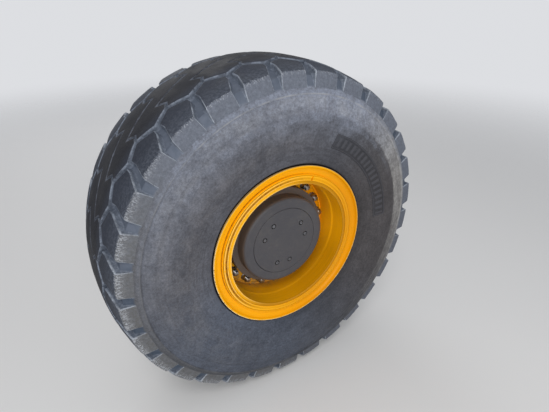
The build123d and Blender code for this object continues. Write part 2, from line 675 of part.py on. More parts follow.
# Brake housing: the ring round the wet brake, bolted between the arm and the spindle
with BuildPart() as brake_housing:
    with BuildSketch(Plane.XY):
        with BuildLine():
            Polyline(
                (SPINDLE_FLANGE_R + FIT, BRAKE_FACE_Y),
                (BRAKE_R - LIP_CHAMFER, BRAKE_FACE_Y),
                (BRAKE_R, BRAKE_FACE_Y + LIP_CHAMFER),
                (BRAKE_R, BRAKE_BACK_Y - LIP_CHAMFER),
                (BRAKE_R - LIP_CHAMFER, BRAKE_BACK_Y),
                (ARM_BORE_R, BRAKE_BACK_Y),
                (ARM_BORE_R, BRAKE_FACE_Y + SPINDLE_FLANGE),
                (SPINDLE_FLANGE_R + FIT, BRAKE_FACE_Y + SPINDLE_FLANGE),
                close=True,
            )
        make_face()
    revolve(axis=Axis.Y)
    with BuildSketch(outward(BRAKE_BACK_Y)):
        with PolarLocations(BRAKE_BOLT_PCD / 2, BRAKE_BOLT_COUNT):
            Circle(BRAKE_BOLT_R + FIT)
    extrude(amount=BRAKE_BOLT_GRIP + FIT, mode=Mode.SUBTRACT)
write(brake_housing.part, "brake_housing")

# Axle arm: cast housing from the mounting flange to the brake's bell, ribbed, open for the shaft
with BuildPart() as axle_arm:
    with BuildSketch(Plane.XY):
        with BuildLine():
            Polyline(
                (ARM_BORE_R, 0),
                (ARM_FLANGE_R - LIP_CHAMFER, 0),
                (ARM_FLANGE_R, -LIP_CHAMFER),
                (ARM_FLANGE_R, -ARM_FLANGE),
                (ARM_NECK_R, -ARM_FLANGE),
                (ARM_NECK_R, -ARM_FLANGE - ARM_NECK_LENGTH),
                (BELL_R, BELL_FLANGE_Y + BELL_LENGTH),
                (BELL_R, BELL_FLANGE_Y),
                (BRAKE_R, BELL_FLANGE_Y),
                (BRAKE_R, BRAKE_BACK_Y),
                (ARM_BORE_R, BRAKE_BACK_Y),
                close=True,
            )
        make_face()
    revolve(axis=Axis.Y)
    with BuildSketch(Plane.XY) as rib_outline:
        with BuildLine():
            Polyline(
                (ARM_BORE_R + RIB, -ARM_FLANGE / 2),
                (ARM_FLANGE_R - RIB, -ARM_FLANGE / 2),
                (ARM_FLANGE_R - RIB, -ARM_FLANGE),
                (RIB_WAIST_R, -ARM_FLANGE - ARM_NECK_LENGTH / 2),
                (RIB_WAIST_R, -ARM_FLANGE - ARM_NECK_LENGTH),
                (BELL_R, BELL_FLANGE_Y + BELL_LENGTH),
                (BELL_R - RIB, BELL_FLANGE_Y),
                (ARM_BORE_R + RIB, BELL_FLANGE_Y),
                close=True,
            )
        make_face()
    for number in range(RIB_COUNT):
        turn = 360 / RIB_COUNT * (number + 0.5)
        with BuildSketch(Plane.XY.rotated((0, -turn, 0))):
            add(rib_outline.sketch)
        extrude(amount=RIB / 2, both=True)
    with BuildSketch(outward(0)):
        with PolarLocations(ARM_BOLT_PCD / 2, ARM_BOLT_COUNT):
            Circle(ARM_BOLT_HOLE_R)
    extrude(amount=ARM_FLANGE, mode=Mode.SUBTRACT)
    with BuildSketch(outward(BELL_FLANGE_Y)):
        with PolarLocations(BRAKE_BOLT_PCD / 2, BRAKE_BOLT_COUNT):
            Circle(BRAKE_BOLT_R + FIT)
    extrude(amount=BELL_FLANGE, mode=Mode.SUBTRACT)
    with BuildSketch(Plane.XY.offset(ARM_NECK_R - RIB)):
        with Locations((0, -BREATHER_PLACE)):
            Circle(BREATHER_R * 2)
    extrude(amount=RIB + 2 * LIP_CHAMFER)
write(axle_arm.part, "axle_arm")

# Brake bolts: round the bell's flange
with BuildPart() as brake_bolts:
    with BuildSketch(outward(BELL_FLANGE_Y)):
        with PolarLocations(BRAKE_BOLT_PCD / 2, BRAKE_BOLT_COUNT):
            RegularPolygon(BRAKE_BOLT_HEAD_R, 6)
    extrude(amount=-BRAKE_BOLT_HEAD)
    with BuildSketch(outward(BELL_FLANGE_Y)):
        with PolarLocations(BRAKE_BOLT_PCD / 2, BRAKE_BOLT_COUNT):
            Circle(BRAKE_BOLT_R)
    extrude(amount=BELL_FLANGE + BRAKE_BOLT_GRIP)
write(brake_bolts.part, "brake_bolts")

# Breather: on the boss on top of the arm's neck
BOSS_TOP = ARM_NECK_R + 2 * LIP_CHAMFER
with BuildPart() as breather:
    with BuildSketch(Plane.XY.offset(BOSS_TOP)):
        with Locations((0, -BREATHER_PLACE)):
            RegularPolygon(BREATHER_R, 6)
    extrude(amount=BREATHER_HEIGHT / 3)
    with BuildSketch(Plane.XY.offset(BOSS_TOP + BREATHER_HEIGHT / 3)):
        with Locations((0, -BREATHER_PLACE)):
            Circle(BREATHER_R / 2)
    extrude(amount=BREATHER_HEIGHT / 3)
    with BuildSketch(Plane.XY.offset(BOSS_TOP + 2 * BREATHER_HEIGHT / 3)):
        with Locations((0, -BREATHER_PLACE)):
            Circle(BREATHER_R * 1.3)
    extrude(amount=BREATHER_HEIGHT / 3)
write(breather.part, "breather")

# Half shaft: splined at the mounting face, with the sun gear between the planets
with BuildPart() as half_shaft:
    with BuildSketch(outward(SHAFT_OUT)):
        Circle(SHAFT_R - SPLINE_DEPTH)
        with PolarLocations(SHAFT_R - SPLINE_DEPTH, SPLINE_COUNT):
            Rectangle(2 * SPLINE_DEPTH, SPLINE_DEPTH * 1.5)
    extrude(amount=SPLINE_LENGTH)
    with BuildSketch(outward(SHAFT_OUT - SPLINE_LENGTH)):
        Circle(SHAFT_R - SPLINE_DEPTH)
    extrude(amount=SHAFT_OUT - SPLINE_LENGTH - (COVER_SEAT_Y + PLANETS_LENGTH))
    with BuildSketch(outward(COVER_SEAT_Y + PLANETS_LENGTH)):
        Circle(SUN_R)
    extrude(amount=PLANETS_LENGTH - DRUM_WALL)
write(half_shaft.part, "half_shaft")
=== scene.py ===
"""Looks of the loader wheel: tyre, rim, hub and axle arm end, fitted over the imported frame.

Angles are in degrees round the wheel's axis, counted from +X (the rear of the machine) towards +Z,
as the wheel is seen from outside. "Across" is the distance from the tyre's middle plane, negative
on the open side. Shapes are worked out in millimetres, and meshes and finishes in metres.
"""

import json
import logging
from dataclasses import dataclass, field, replace
from enum import Enum
from functools import cached_property
from math import radians
from typing import Union

import bmesh
import bpy
import numpy as np
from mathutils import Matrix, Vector

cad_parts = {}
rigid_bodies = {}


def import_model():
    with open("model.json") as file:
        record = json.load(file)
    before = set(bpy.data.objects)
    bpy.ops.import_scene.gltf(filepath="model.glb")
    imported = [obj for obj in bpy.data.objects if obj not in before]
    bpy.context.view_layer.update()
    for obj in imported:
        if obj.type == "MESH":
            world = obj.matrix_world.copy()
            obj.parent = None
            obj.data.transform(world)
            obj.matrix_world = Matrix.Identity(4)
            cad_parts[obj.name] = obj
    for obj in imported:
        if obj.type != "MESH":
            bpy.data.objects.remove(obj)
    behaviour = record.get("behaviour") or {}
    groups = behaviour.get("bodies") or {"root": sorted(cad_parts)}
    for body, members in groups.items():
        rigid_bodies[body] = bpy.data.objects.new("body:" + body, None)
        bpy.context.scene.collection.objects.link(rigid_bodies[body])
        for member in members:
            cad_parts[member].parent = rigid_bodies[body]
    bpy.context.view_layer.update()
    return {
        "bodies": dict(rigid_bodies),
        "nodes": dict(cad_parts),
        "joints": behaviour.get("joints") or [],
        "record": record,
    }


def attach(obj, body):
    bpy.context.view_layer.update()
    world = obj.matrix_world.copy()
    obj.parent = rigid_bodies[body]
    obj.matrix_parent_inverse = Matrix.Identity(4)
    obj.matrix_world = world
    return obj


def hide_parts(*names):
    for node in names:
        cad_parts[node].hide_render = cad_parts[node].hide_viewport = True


LOG = logging.getLogger("loader_wheel")
METRE = 0.001
MIDDLE_Y = -480.0


class Body(Enum):
    """Moving bodies of the frame."""

    ARM = "axle_end"
    WHEEL = "wheel"
    SHAFT = "shaft"


class Slot(Enum):
    """Material slots of the record."""

    TYRE = "tyre_rubber"
    RIM = "rim_paint"
    HUB = "hub_paint"
    ARM = "arm_paint"
    FASTENER = "fastener_steel"
    BEARING = "bearing_steel"
    GEAR = "gear_steel"
    VALVE = "valve_brass"


# Meshes


@dataclass(frozen=True)
class Dress:
    """How a piece is shown: its body, slot, material, the CAD nodes it replaces and its shading.

    Edges flatter than smooth_below, in degrees, are shaded smooth.
    """

    body: Body
    slot: Slot
    material: bpy.types.Material
    stands_for: tuple[str, ...] = ()
    smooth_below: float = 40.0

    def over(self, *nodes: str) -> "Dress":
        """The same dress for a piece that replaces the CAD nodes."""
        return replace(self, stands_for=nodes)


def ring_point(angle: np.ndarray, radius: np.ndarray, across: np.ndarray) -> np.ndarray:
    """Points of the wheel in metres: x = r cos a, y = middle + across, z = r sin a.

    Args:
        angle: degrees round the axis.
        radius: distance from the axis, mm.
        across: distance from the middle plane, mm.

    Returns:
        Array with a last axis of x, y and z.
    """
    turn = np.radians(angle)
    flat = np.broadcast_arrays(radius * np.cos(turn), MIDDLE_Y + across, radius * np.sin(turn))
    return np.stack(flat, axis=-1) * METRE


def on_circle(
    circle: float, angles: np.ndarray, radius: np.ndarray, about: np.ndarray, across: np.ndarray
) -> np.ndarray:
    """Points of bodies that stand on a circle: x = c/2 cos p + r cos a, z = c/2 sin p + r sin a.

    Args:
        circle: diameter of the circle, mm.
        angles: the places p on it, degrees.
        radius: distance r from a body's own axis by row and step, mm.
        about: angle a about that axis by body and step, radians.
        across: distance from the middle plane by row, mm.

    Returns:
        Points in metres by body, row and step.
    """
    place = np.radians(angles)[:, None, None]
    x = circle / 2 * np.cos(place) + radius * np.cos(about)
    z = circle / 2 * np.sin(place) + radius * np.sin(about)
    return np.stack(np.broadcast_arrays(x, MIDDLE_Y + across, z), axis=-1) * METRE


def grid_faces(rows: int, columns: int, loop_rows: bool, loop_columns: bool) -> np.ndarray:
    """Quads between neighbours of a grid of points numbered row by row.

    Args:
        rows: number of rows.
        columns: points in a row.
        loop_rows: True if the last row joins the first.
        loop_columns: True if a row's last point joins its first.

    Returns:
        Array of four point numbers for each quad.
    """
    row, column = np.meshgrid(
        np.arange(rows - (not loop_rows)), np.arange(columns - (not loop_columns)), indexing="ij"
    )
    below, beside = (row + 1) % rows * columns, (column + 1) % columns
    here = row * columns
    return np.stack([here + column, here + beside, below + beside, below + column], axis=-1).reshape(-1, 4)


def repeated(faces: np.ndarray, points_each: int, copies: int) -> np.ndarray:
    """Faces of a shape for each of its copies, whose points follow one another.

    Args:
        faces: faces of the first copy.
        points_each: number of points of one copy.
        copies: number of copies.

    Returns:
        Array of faces of all copies.
    """
    shift = np.arange(copies)[:, None, None] * points_each
    return (faces[None] + shift).reshape(-1, faces.shape[-1])


def stack_faces(rows: int, around: int, copies: int) -> list[np.ndarray]:
    """Faces of round bodies made of rows of points, closed at both ends.

    Args:
        rows: rows of one body.
        around: points in a row.
        copies: number of bodies.

    Returns:
        Faces of the walls and of the ends.
    """
    each, ring = rows * around, np.arange(around)
    ends = np.stack([ring, each - around + ring])
    return [repeated(part, each, copies) for part in (grid_faces(rows, around, False, True), ends)]


def closed_mesh(
    name: str, points: np.ndarray, faces: list[np.ndarray], marks: dict[str, np.ndarray] | None = None
) -> bpy.types.Mesh:
    """Makes a closed mesh from arrays and turns its faces outwards.

    Args:
        name: the mesh's name.
        points: x, y, z in metres in the last axis.
        faces: arrays of faces, each with one number of corners.
        marks: values at the points that a material reads by name.

    Returns:
        The mesh.
    """
    mesh = bpy.data.meshes.new(name)
    corners = np.concatenate([part.reshape(-1) for part in faces]).astype(np.int32)
    sizes = np.concatenate([np.full(len(part), part.shape[1]) for part in faces])
    starts = np.concatenate([[0], np.cumsum(sizes)[:-1]]).astype(np.int32)
    mesh.vertices.add(points.size // 3)
    mesh.vertices.foreach_set("co", points.reshape(-1).astype(np.float32))
    mesh.loops.add(len(corners))
    mesh.loops.foreach_set("vertex_index", corners)
    mesh.polygons.add(len(starts))
    mesh.polygons.foreach_set("loop_start", starts)
    mesh.update(calc_edges=True)
    mesh.validate()
    for mark, values in (marks or {}).items():
        kept = mesh.attributes.new(mark, "FLOAT", "POINT")
        kept.data.foreach_set("value", values.reshape(-1).astype(np.float32))
    shell = bmesh.new()
    shell.from_mesh(mesh)
    bmesh.ops.recalc_face_normals(shell, faces=shell.faces)
    shell.to_mesh(mesh)
    shell.free()
    return mesh


def dressed(name: str, mesh: bpy.types.Mesh, dress: Dress) -> bpy.types.Object:
    """Makes the object of a finished mesh, with its shading, material and body.

    Args:
        name: the piece's name.
        mesh: its mesh.
        dress: how it is shown.

    Returns:
        The new object.
    """
    mesh.polygons.foreach_set("use_smooth", np.ones(len(mesh.polygons), dtype=bool))
    mesh.set_sharp_from_angle(angle=radians(dress.smooth_below))
    mesh.materials.clear()
    mesh.materials.append(dress.material)
    made = bpy.data.objects.new(name, mesh)
    bpy.context.scene.collection.objects.link(made)
    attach(made, dress.body.value)
    if dress.stands_for:
        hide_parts(*dress.stands_for)
    LOG.info("%s: %d points, %d faces", name, len(mesh.vertices), len(mesh.polygons))
    return made


def eased(corners: list[tuple[float, float, float]], steps: int = 4) -> np.ndarray:
    """Outline with eased corners: each corner becomes a bent line from one side to the other.

    A corner C with the points A and B on its sides, both its easing away, is replaced by
    (1-t)(1-t) A + 2t(1-t) C + t t B, and a point close by keeps each flat side flat. A corner
    without easing stays one point.

    Args:
        corners: rows of radius, across and easing, in mm.
        steps: points of a bend, less one.

    Returns:
        Rows of radius and across.
    """
    bend_share, flat_share, flat_length = 0.4, 0.08, 1.0
    table = np.array(corners, dtype=float)
    spot, ease = table[:, :2], table[:, 2]
    sides = [np.roll(spot, shift, axis=0) - spot for shift in (1, -1)]
    lengths = [np.linalg.norm(side, axis=1) for side in sides]
    shorter = np.minimum(*lengths)
    reach = np.minimum(ease, bend_share * shorter)
    extra = np.minimum(flat_length, flat_share * shorter)
    ways = [side / length[:, None] for side, length in zip(sides, lengths)]
    a, b = (spot + way * reach[:, None] for way in ways)
    lead, tail = (spot + way * (reach + extra)[:, None] for way in ways)
    t = np.linspace(0, 1, steps + 1)[None, :, None]
    bend = (1 - t) ** 2 * a[:, None] + 2 * t * (1 - t) * spot[:, None] + t**2 * b[:, None]
    line = np.concatenate([lead[:, None], bend, tail[:, None]], axis=1)
    keep = np.ones(line.shape[:2], dtype=bool)
    keep[ease == 0] = np.arange(line.shape[1]) == 1
    return line[keep]


def quarter(centre: tuple[float, float], radius: float, start: float, end: float) -> list[tuple]:
    """Rows of an arc of an outline: centre plus radius times (cos a, sin a), uneased.

    Args:
        centre: radius and across of the arc's centre.
        radius: the arc's radius.
        start: first angle, degrees from outwards towards inboard.
        end: last angle.

    Returns:
        Rows of radius, across and easing.
    """
    steps = 16
    turn = np.radians(np.linspace(start, end, steps))
    rows = np.stack([centre[0] + radius * np.cos(turn), centre[1] + radius * np.sin(turn), 0 * turn], axis=1)
    return [tuple(row) for row in rows]


def path_length(points: np.ndarray) -> np.ndarray:
    """Length along a line of points up to each of them."""
    return np.concatenate([[0], np.cumsum(np.linalg.norm(np.diff(points, axis=0), axis=1))])


def smooth_line(at: np.ndarray, knots: np.ndarray, values: np.ndarray) -> np.ndarray:
    """Smooth curve through values: a cubic between knots, with slopes from their neighbours.

    Args:
        at: places to read.
        knots: rising places of the values.
        values: the values.

    Returns:
        Values at the places.
    """
    slope = np.gradient(values, knots)
    left = np.clip(np.searchsorted(knots, at, side="right") - 1, 0, len(knots) - 2)
    gap = knots[left + 1] - knots[left]
    t = (at - knots[left]) / gap
    first = (1 + 2 * t) * (1 - t) ** 2 * values[left] + t * (1 - t) ** 2 * gap * slope[left]
    return first + t**2 * (3 - 2 * t) * values[left + 1] + t**2 * (t - 1) * gap * slope[left + 1]


def turned(
    name: str,
    outline: np.ndarray,
    dress: Dress,
    segments: int,
    span: tuple[float, float] | None = None,
    capped: bool = False,
) -> bpy.types.Object:
    """Turns an outline about the wheel's axis: point (a, i) = outline i at the angle a.

    Args:
        name: the piece's name.
        outline: rows of radius and across.
        dress: how the piece is shown.
        segments: steps round the axis.
        span: start and end angle of a split ring, whose ends are closed.
        capped: True if the outline is open and its ends are closed by flat faces.

    Returns:
        The new object.
    """
    start, end = span or (0.0, 360.0)
    angle = np.linspace(start, end, segments, endpoint=span is not None)
    points = ring_point(angle[:, None], outline[None, :, 0], outline[None, :, 1])
    count = len(outline)
    faces = [grid_faces(segments, count, span is None, not capped)]
    if span is not None:
        ends = np.arange(count)
        faces.append(np.stack([ends, (segments - 1) * count + ends]))
    if capped:
        rows = np.arange(segments) * count
        faces.append(np.stack([rows, rows + count - 1]))
    return dressed(name, closed_mesh(name, points, faces), dress)


# Shader boards


@dataclass(frozen=True, eq=False)
class Value:
    """Number, vector or colour that changes over the surface, with its sums written plainly."""

    board: "Board"
    socket: bpy.types.NodeSocket

    def __add__(self, other: "Input") -> "Value":
        """This plus the other."""
        return self.board.math("ADD", self, other)

    def __radd__(self, other: float) -> "Value":
        """The number plus this."""
        return self.board.math("ADD", other, self)

    def __sub__(self, other: "Input") -> "Value":
        """This less the other."""
        return self.board.math("SUBTRACT", self, other)

    def __rsub__(self, other: float) -> "Value":
        """The number less this."""
        return self.board.math("SUBTRACT", other, self)

    def __mul__(self, other: "Input") -> "Value":
        """This times the other."""
        return self.board.math("MULTIPLY", self, other)

    def __truediv__(self, other: "Input") -> "Value":
        """This over the other."""
        return self.board.math("DIVIDE", self, other)

    def most(self, other: "Input") -> "Value":
        """The greater of this and the other."""
        return self.board.math("MAXIMUM", self, other)

    def step(self, low: "Input", high: "Input") -> "Value":
        """Smooth step: 0 where this is at low, 1 at high, also where high is the lesser."""
        inputs = {0: self, 1: low, 2: high}
        return self.board.made("ShaderNodeMapRange", inputs, interpolation_type="SMOOTHSTEP")

    def band(self, start: "Input", full: "Input", fade: "Input", end: "Input") -> "Value":
        """Smooth band: 0 up to start, 1 from full to fade, and 0 again from end."""
        return self.step(start, full) * self.step(end, fade)

    def between(self, first: "Input", second: "Input") -> "Value":
        """From the first to the second by this share."""
        return first + self * (second - first)


Input = Union[float, tuple, Value]


@dataclass(eq=False)
class Board:
    """Short ways to place and wire shader nodes in one tree."""

    tree: bpy.types.NodeTree

    def add(self, kind: str, **settings: object) -> bpy.types.Node:
        """Adds a node of the kind, with its settings."""
        node = self.tree.nodes.new(kind)
        for key, value in settings.items():
            setattr(node, key, value)
        return node

    def put(self, socket: bpy.types.NodeSocket, value: Input) -> None:
        """Wires a value to the socket, or writes a number or colour on it."""
        if isinstance(value, Value):
            self.tree.links.new(value.socket, socket)
        else:
            socket.default_value = value

    def made(
        self, kind: str, inputs: dict[str | int, Input], output: str | int = 0, **settings: object
    ) -> Value:
        """Adds a node and fills its inputs, named or numbered.

        Args:
            kind: kind of the node.
            inputs: what goes into each input.
            output: the output that is read.
            **settings: the node's settings.

        Returns:
            The output's value.
        """
        node = self.add(kind, **settings)
        for key, value in inputs.items():
            self.put(node.inputs[key], value)
        return Value(self, node.outputs[output])

    def math(self, operation: str, *values: Input) -> Value:
        """Result of a Math node."""
        return self.made("ShaderNodeMath", dict(enumerate(values)), operation=operation)

    def vector(self, operation: str, inputs: dict[str | int, Input], output: str | int = 0) -> Value:
        """Result of a Vector Math node."""
        return self.made("ShaderNodeVectorMath", inputs, output, operation=operation)

    def mix(self, share: Input, first: Input, second: Input, blend: str = "MIX") -> Value:
        """Mix of two colours by a share."""
        inputs = {0: share, 6: first, 7: second}
        return self.made("ShaderNodeMix", inputs, 2, data_type="RGBA", blend_type=blend)

    def noise(
        self, vector: Input, scale: Input, detail: float, rough: float = 0.5, distortion: float = 0.0
    ) -> Value:
        """Value of a noise texture."""
        inputs = {"Vector": vector, "Scale": scale, "Detail": detail, "Roughness": rough}
        return self.made("ShaderNodeTexNoise", {**inputs, "Distortion": distortion})

    def split(self, vector: Input) -> list[Value]:
        """The vector's x, y and z."""
        node = self.add("ShaderNodeSeparateXYZ")
        self.put(node.inputs[0], vector)
        return [Value(self, output) for output in node.outputs]

    def lifted(self, vector: Input, height: Input) -> Value:
        """Vector with a height added along the wheel's axis."""
        return self.vector("ADD", {0: vector, 1: self.made("ShaderNodeCombineXYZ", {1: height})})

    def scaled(self, vector: Input, factor: Input) -> Value:
        """Vector or colour times a number."""
        return self.vector("SCALE", {0: vector, "Scale": factor})

    def coordinates(self) -> Value:
        """Object coordinates."""
        return self.made("ShaderNodeTexCoord", {}, "Object")

    def group(self, tree: bpy.types.NodeTree, **values: Input) -> dict[str, Value]:
        """Places a shared effect with its own values, and gives its outputs by name."""
        node = self.add("ShaderNodeGroup", node_tree=tree)
        for key, value in values.items():
            self.put(node.inputs[key], value)
        return {output.name: Value(self, output) for output in node.outputs}


class Kind(Enum):
    """Kinds of socket of a shared effect."""

    NUMBER = "NodeSocketFloat"
    VECTOR = "NodeSocketVector"


def new_group(
    name: str, inputs: dict[str, float | None], outputs: dict[str, Kind]
) -> tuple[Board, dict[str, Value], bpy.types.bpy_prop_collection]:
    """Starts a shared effect with its sockets.

    Args:
        name: the effect's name.
        inputs: name to first value, or to None for a vector.
        outputs: name to kind.

    Returns:
        The board, what the effect is given, and the sockets for its results.
    """
    tree = bpy.data.node_groups.new(name, "ShaderNodeTree")
    for key, first in inputs.items():
        kind = Kind.VECTOR if first is None else Kind.NUMBER
        socket = tree.interface.new_socket(name=key, in_out="INPUT", socket_type=kind.value)
        if first is not None:
            socket.default_value = first
    for key, kind in outputs.items():
        tree.interface.new_socket(name=key, in_out="OUTPUT", socket_type=kind.value)
    board = Board(tree)
    source, target = board.add("NodeGroupInput"), board.add("NodeGroupOutput")
    return board, {key: Value(board, source.outputs[key]) for key in inputs}, target.inputs


@dataclass
class Effects:
    """Shared shader effects, each a node group built once."""

    about: bpy.types.NodeTree = field(init=False)
    patches: bpy.types.NodeTree = field(init=False)
    grain: bpy.types.NodeTree = field(init=False)
    streaks: bpy.types.NodeTree = field(init=False)

    def __post_init__(self) -> None:
        """Builds the effects."""
        self.about = self.wheel_place()
        self.patches = self.cloudy_patches()
        self.grain = self.fine_grain()
        self.streaks = self.round_streaks()

    @staticmethod
    def wheel_place() -> bpy.types.NodeTree:
        """Radius, across and turn of a point of the wheel, in metres and radians, with its direction."""
        kinds = {"Radius": Kind.NUMBER, "Across": Kind.NUMBER, "Turn": Kind.NUMBER, "Spoke": Kind.VECTOR}
        board, _, target = new_group("wheel_place", {}, kinds)
        x, y, z = board.split(board.coordinates())
        radius = board.math("SQRT", x * x + z * z)
        board.put(target["Radius"], radius)
        board.put(target["Across"], y + -MIDDLE_Y * METRE)
        board.put(target["Turn"], board.math("ARCTAN2", z, x))
        board.put(target["Spoke"], board.made("ShaderNodeCombineXYZ", {0: x / radius, 2: z / radius}))
        return board.tree

    @staticmethod
    def cloudy_patches() -> bpy.types.NodeTree:
        """Mask of soft patches: noise of the given scale, cut between low and high."""
        inputs = {"Vector": None, "Scale": 5.0, "Low": 0.45, "High": 0.65}
        board, given, target = new_group("cloudy_patches", inputs, {"Mask": Kind.NUMBER})
        detail, rough, bend = 7.0, 0.62, 0.3
        cloud = board.noise(given["Vector"], given["Scale"], detail, rough, bend)
        board.put(target["Mask"], cloud.step(given["Low"], given["High"]))
        return board.tree

    @staticmethod
    def fine_grain() -> bpy.types.NodeTree:
        """Height of a fine grain: noise and small pits, for rubber, castings and paint."""
        inputs = {"Vector": None, "Scale": 300.0, "Pits": 0.3}
        board, given, target = new_group("fine_grain", inputs, {"Height": Kind.NUMBER})
        detail, coarseness, pit_size = 3.0, 0.4, 0.35
        fine = board.noise(given["Vector"], given["Scale"], detail)
        coarse = {"Vector": given["Vector"], "Scale": given["Scale"] * coarseness}
        pits = board.made("ShaderNodeTexVoronoi", coarse).step(0.0, pit_size)
        board.put(target["Height"], fine + pits * given["Pits"])
        return board.tree

    def round_streaks(self) -> bpy.types.NodeTree:
        """Mask of scuffs drawn out round the wheel: noise that changes fast with the radius only."""
        inputs = {"Round": 6.0, "Fine": 260.0, "Low": 0.5, "High": 0.7}
        board, given, target = new_group("round_streaks", inputs, {"Mask": Kind.NUMBER})
        detail, slant = 5.0, 0.7
        where = board.group(self.about)
        level = where["Radius"] + where["Across"] * slant
        drawn = board.lifted(board.scaled(where["Spoke"], given["Round"]), level * given["Fine"])
        board.put(target["Mask"], board.noise(drawn, 1.0, detail).step(given["Low"], given["High"]))
        return board.tree


# Finishes


class Side(Enum):
    """Sides of the wheel that dust, light or wear keep to.

    Each is a direction from the axis in x and z, and where its mask starts and is full: a smooth
    step of the dot product of that direction with the point's own.
    """

    TREAD_TOP = (0.26, 0.97, -0.5, 1.0)
    SKY = (-0.42, 0.91, 0.2, 1.0)
    SCUFFED = (-0.86, -0.51, 0.10, 0.70)
    WALL_TOP = (0.26, 0.97, -0.9, 1.0)
    HIGH_TOP = (0.26, 0.97, 0.55, 0.95)
    WALL_LEFT = (-0.97, 0.26, -1.0, 0.8)
    BELT_LEFT = (-0.97, 0.26, -0.40, 0.60)
    WALL_RIGHT = (0.97, -0.26, 0.1, 0.9)
    HAZY_RIGHT = (0.87, 0.5, 0.15, 0.90)
    FAR_RIGHT = (0.87, 0.5, 0.78, 0.96)
    LIP_RIGHT = (0.5, 0.87, -0.15, 0.75)
    LOW_WALL = (-0.26, -0.97, 0.10, 0.85)
    LOW_EDGE = (-0.26, -0.97, 0.30, 0.90)
    LOW_LEFT = (-0.6, -0.8, -0.35, 0.60)
    RIM_RIGHT = (0.93, -0.37, -0.2, 0.8)
    BORE_RIGHT = (0.87, 0.5, 0.45, 1.0)
    BORE_LOW = (-0.2, -0.98, 0.80, 1.0)
    LIP_LOW = (-0.2, -0.98, -0.7, 0.6)
    LIP_TOP = (-0.2, -0.98, 0.1, -0.7)
    JOINTS = (-0.92, 0.39, -0.10, 0.85)
    CRESTS = (-0.92, 0.39, 0.00, 0.85)
    NOT_JOINTS = (-0.92, 0.39, 0.75, 0.05)


class Coat(Board):
    """Board of one material, with the shared effects and the point's place on the wheel."""

    def __init__(self, name: str, effects: Effects | None = None) -> None:
        """Starts the material."""
        self.material = bpy.data.materials.new(name)
        self.material.use_nodes = True
        super().__init__(self.material.node_tree)
        self.shader = self.tree.nodes["Principled BSDF"]
        self.effects = effects
        self.place = self.coordinates()

    @cached_property
    def where(self) -> dict[str, Value]:
        """Radius, across and turn of the point, and its direction from the axis."""
        return self.group(self.effects.about)

    def toward(self, side: Side) -> Value:
        """Mask of a side of the wheel."""
        x, z, start, full = side.value
        return self.vector("DOT_PRODUCT", {0: self.where["Spoke"], 1: (x, 0.0, z)}, "Value").step(start, full)

    def cloud(self, scale: float, low: float, high: float) -> Value:
        """Mask of soft patches."""
        return self.group(self.effects.patches, Vector=self.place, Scale=scale, Low=low, High=high)["Mask"]

    def drawn(self, around: float, fine: float, low: float, high: float) -> Value:
        """Mask of scuffs drawn out round the wheel."""
        return self.group(self.effects.streaks, Round=around, Fine=fine, Low=low, High=high)["Mask"]

    def grain(self, scale: float, pits: float) -> Value:
        """Height of a fine grain."""
        return self.group(self.effects.grain, Vector=self.place, Scale=scale, Pits=pits)["Height"]

    def spots(self, scale: float, detail: float, rough: float) -> Value:
        """Noise at the point's place."""
        return self.noise(self.place, scale, detail, rough)

    def mark(self, name: str) -> Value:
        """Value that the mesh keeps under a name."""
        return self.made("ShaderNodeAttribute", {}, "Fac", attribute_name=name)

    def specked(self, colour: Input, strength: float) -> Value:
        """Colour made lighter and darker in fine specks."""
        scale, detail, rough, spread = 105.0, 7.0, 0.90, 4.0
        fine = self.spots(scale, detail, rough)
        return self.scaled(colour, (fine - 0.5) * (spread * strength) + 1.0)

    def finished(
        self, colour: Input, roughness: Input, height: Input, depth: float, specular: float | None = None
    ) -> bpy.types.Material:
        """Wires the results to the shader.

        Args:
            colour: base colour.
            roughness: roughness.
            height: height of the relief, 0 to 1.
            depth: depth of the relief in metres.
            specular: specular level, where it isn't the usual one.

        Returns:
            The finished material.
        """
        inputs = self.shader.inputs
        bump = {"Strength": 1.0, "Distance": depth, "Height": height}
        self.put(inputs["Base Color"], colour)
        self.put(inputs["Roughness"], roughness)
        self.put(inputs["Normal"], self.made("ShaderNodeBump", bump))
        if specular is not None:
            inputs["Specular IOR Level"].default_value = specular
        return self.material


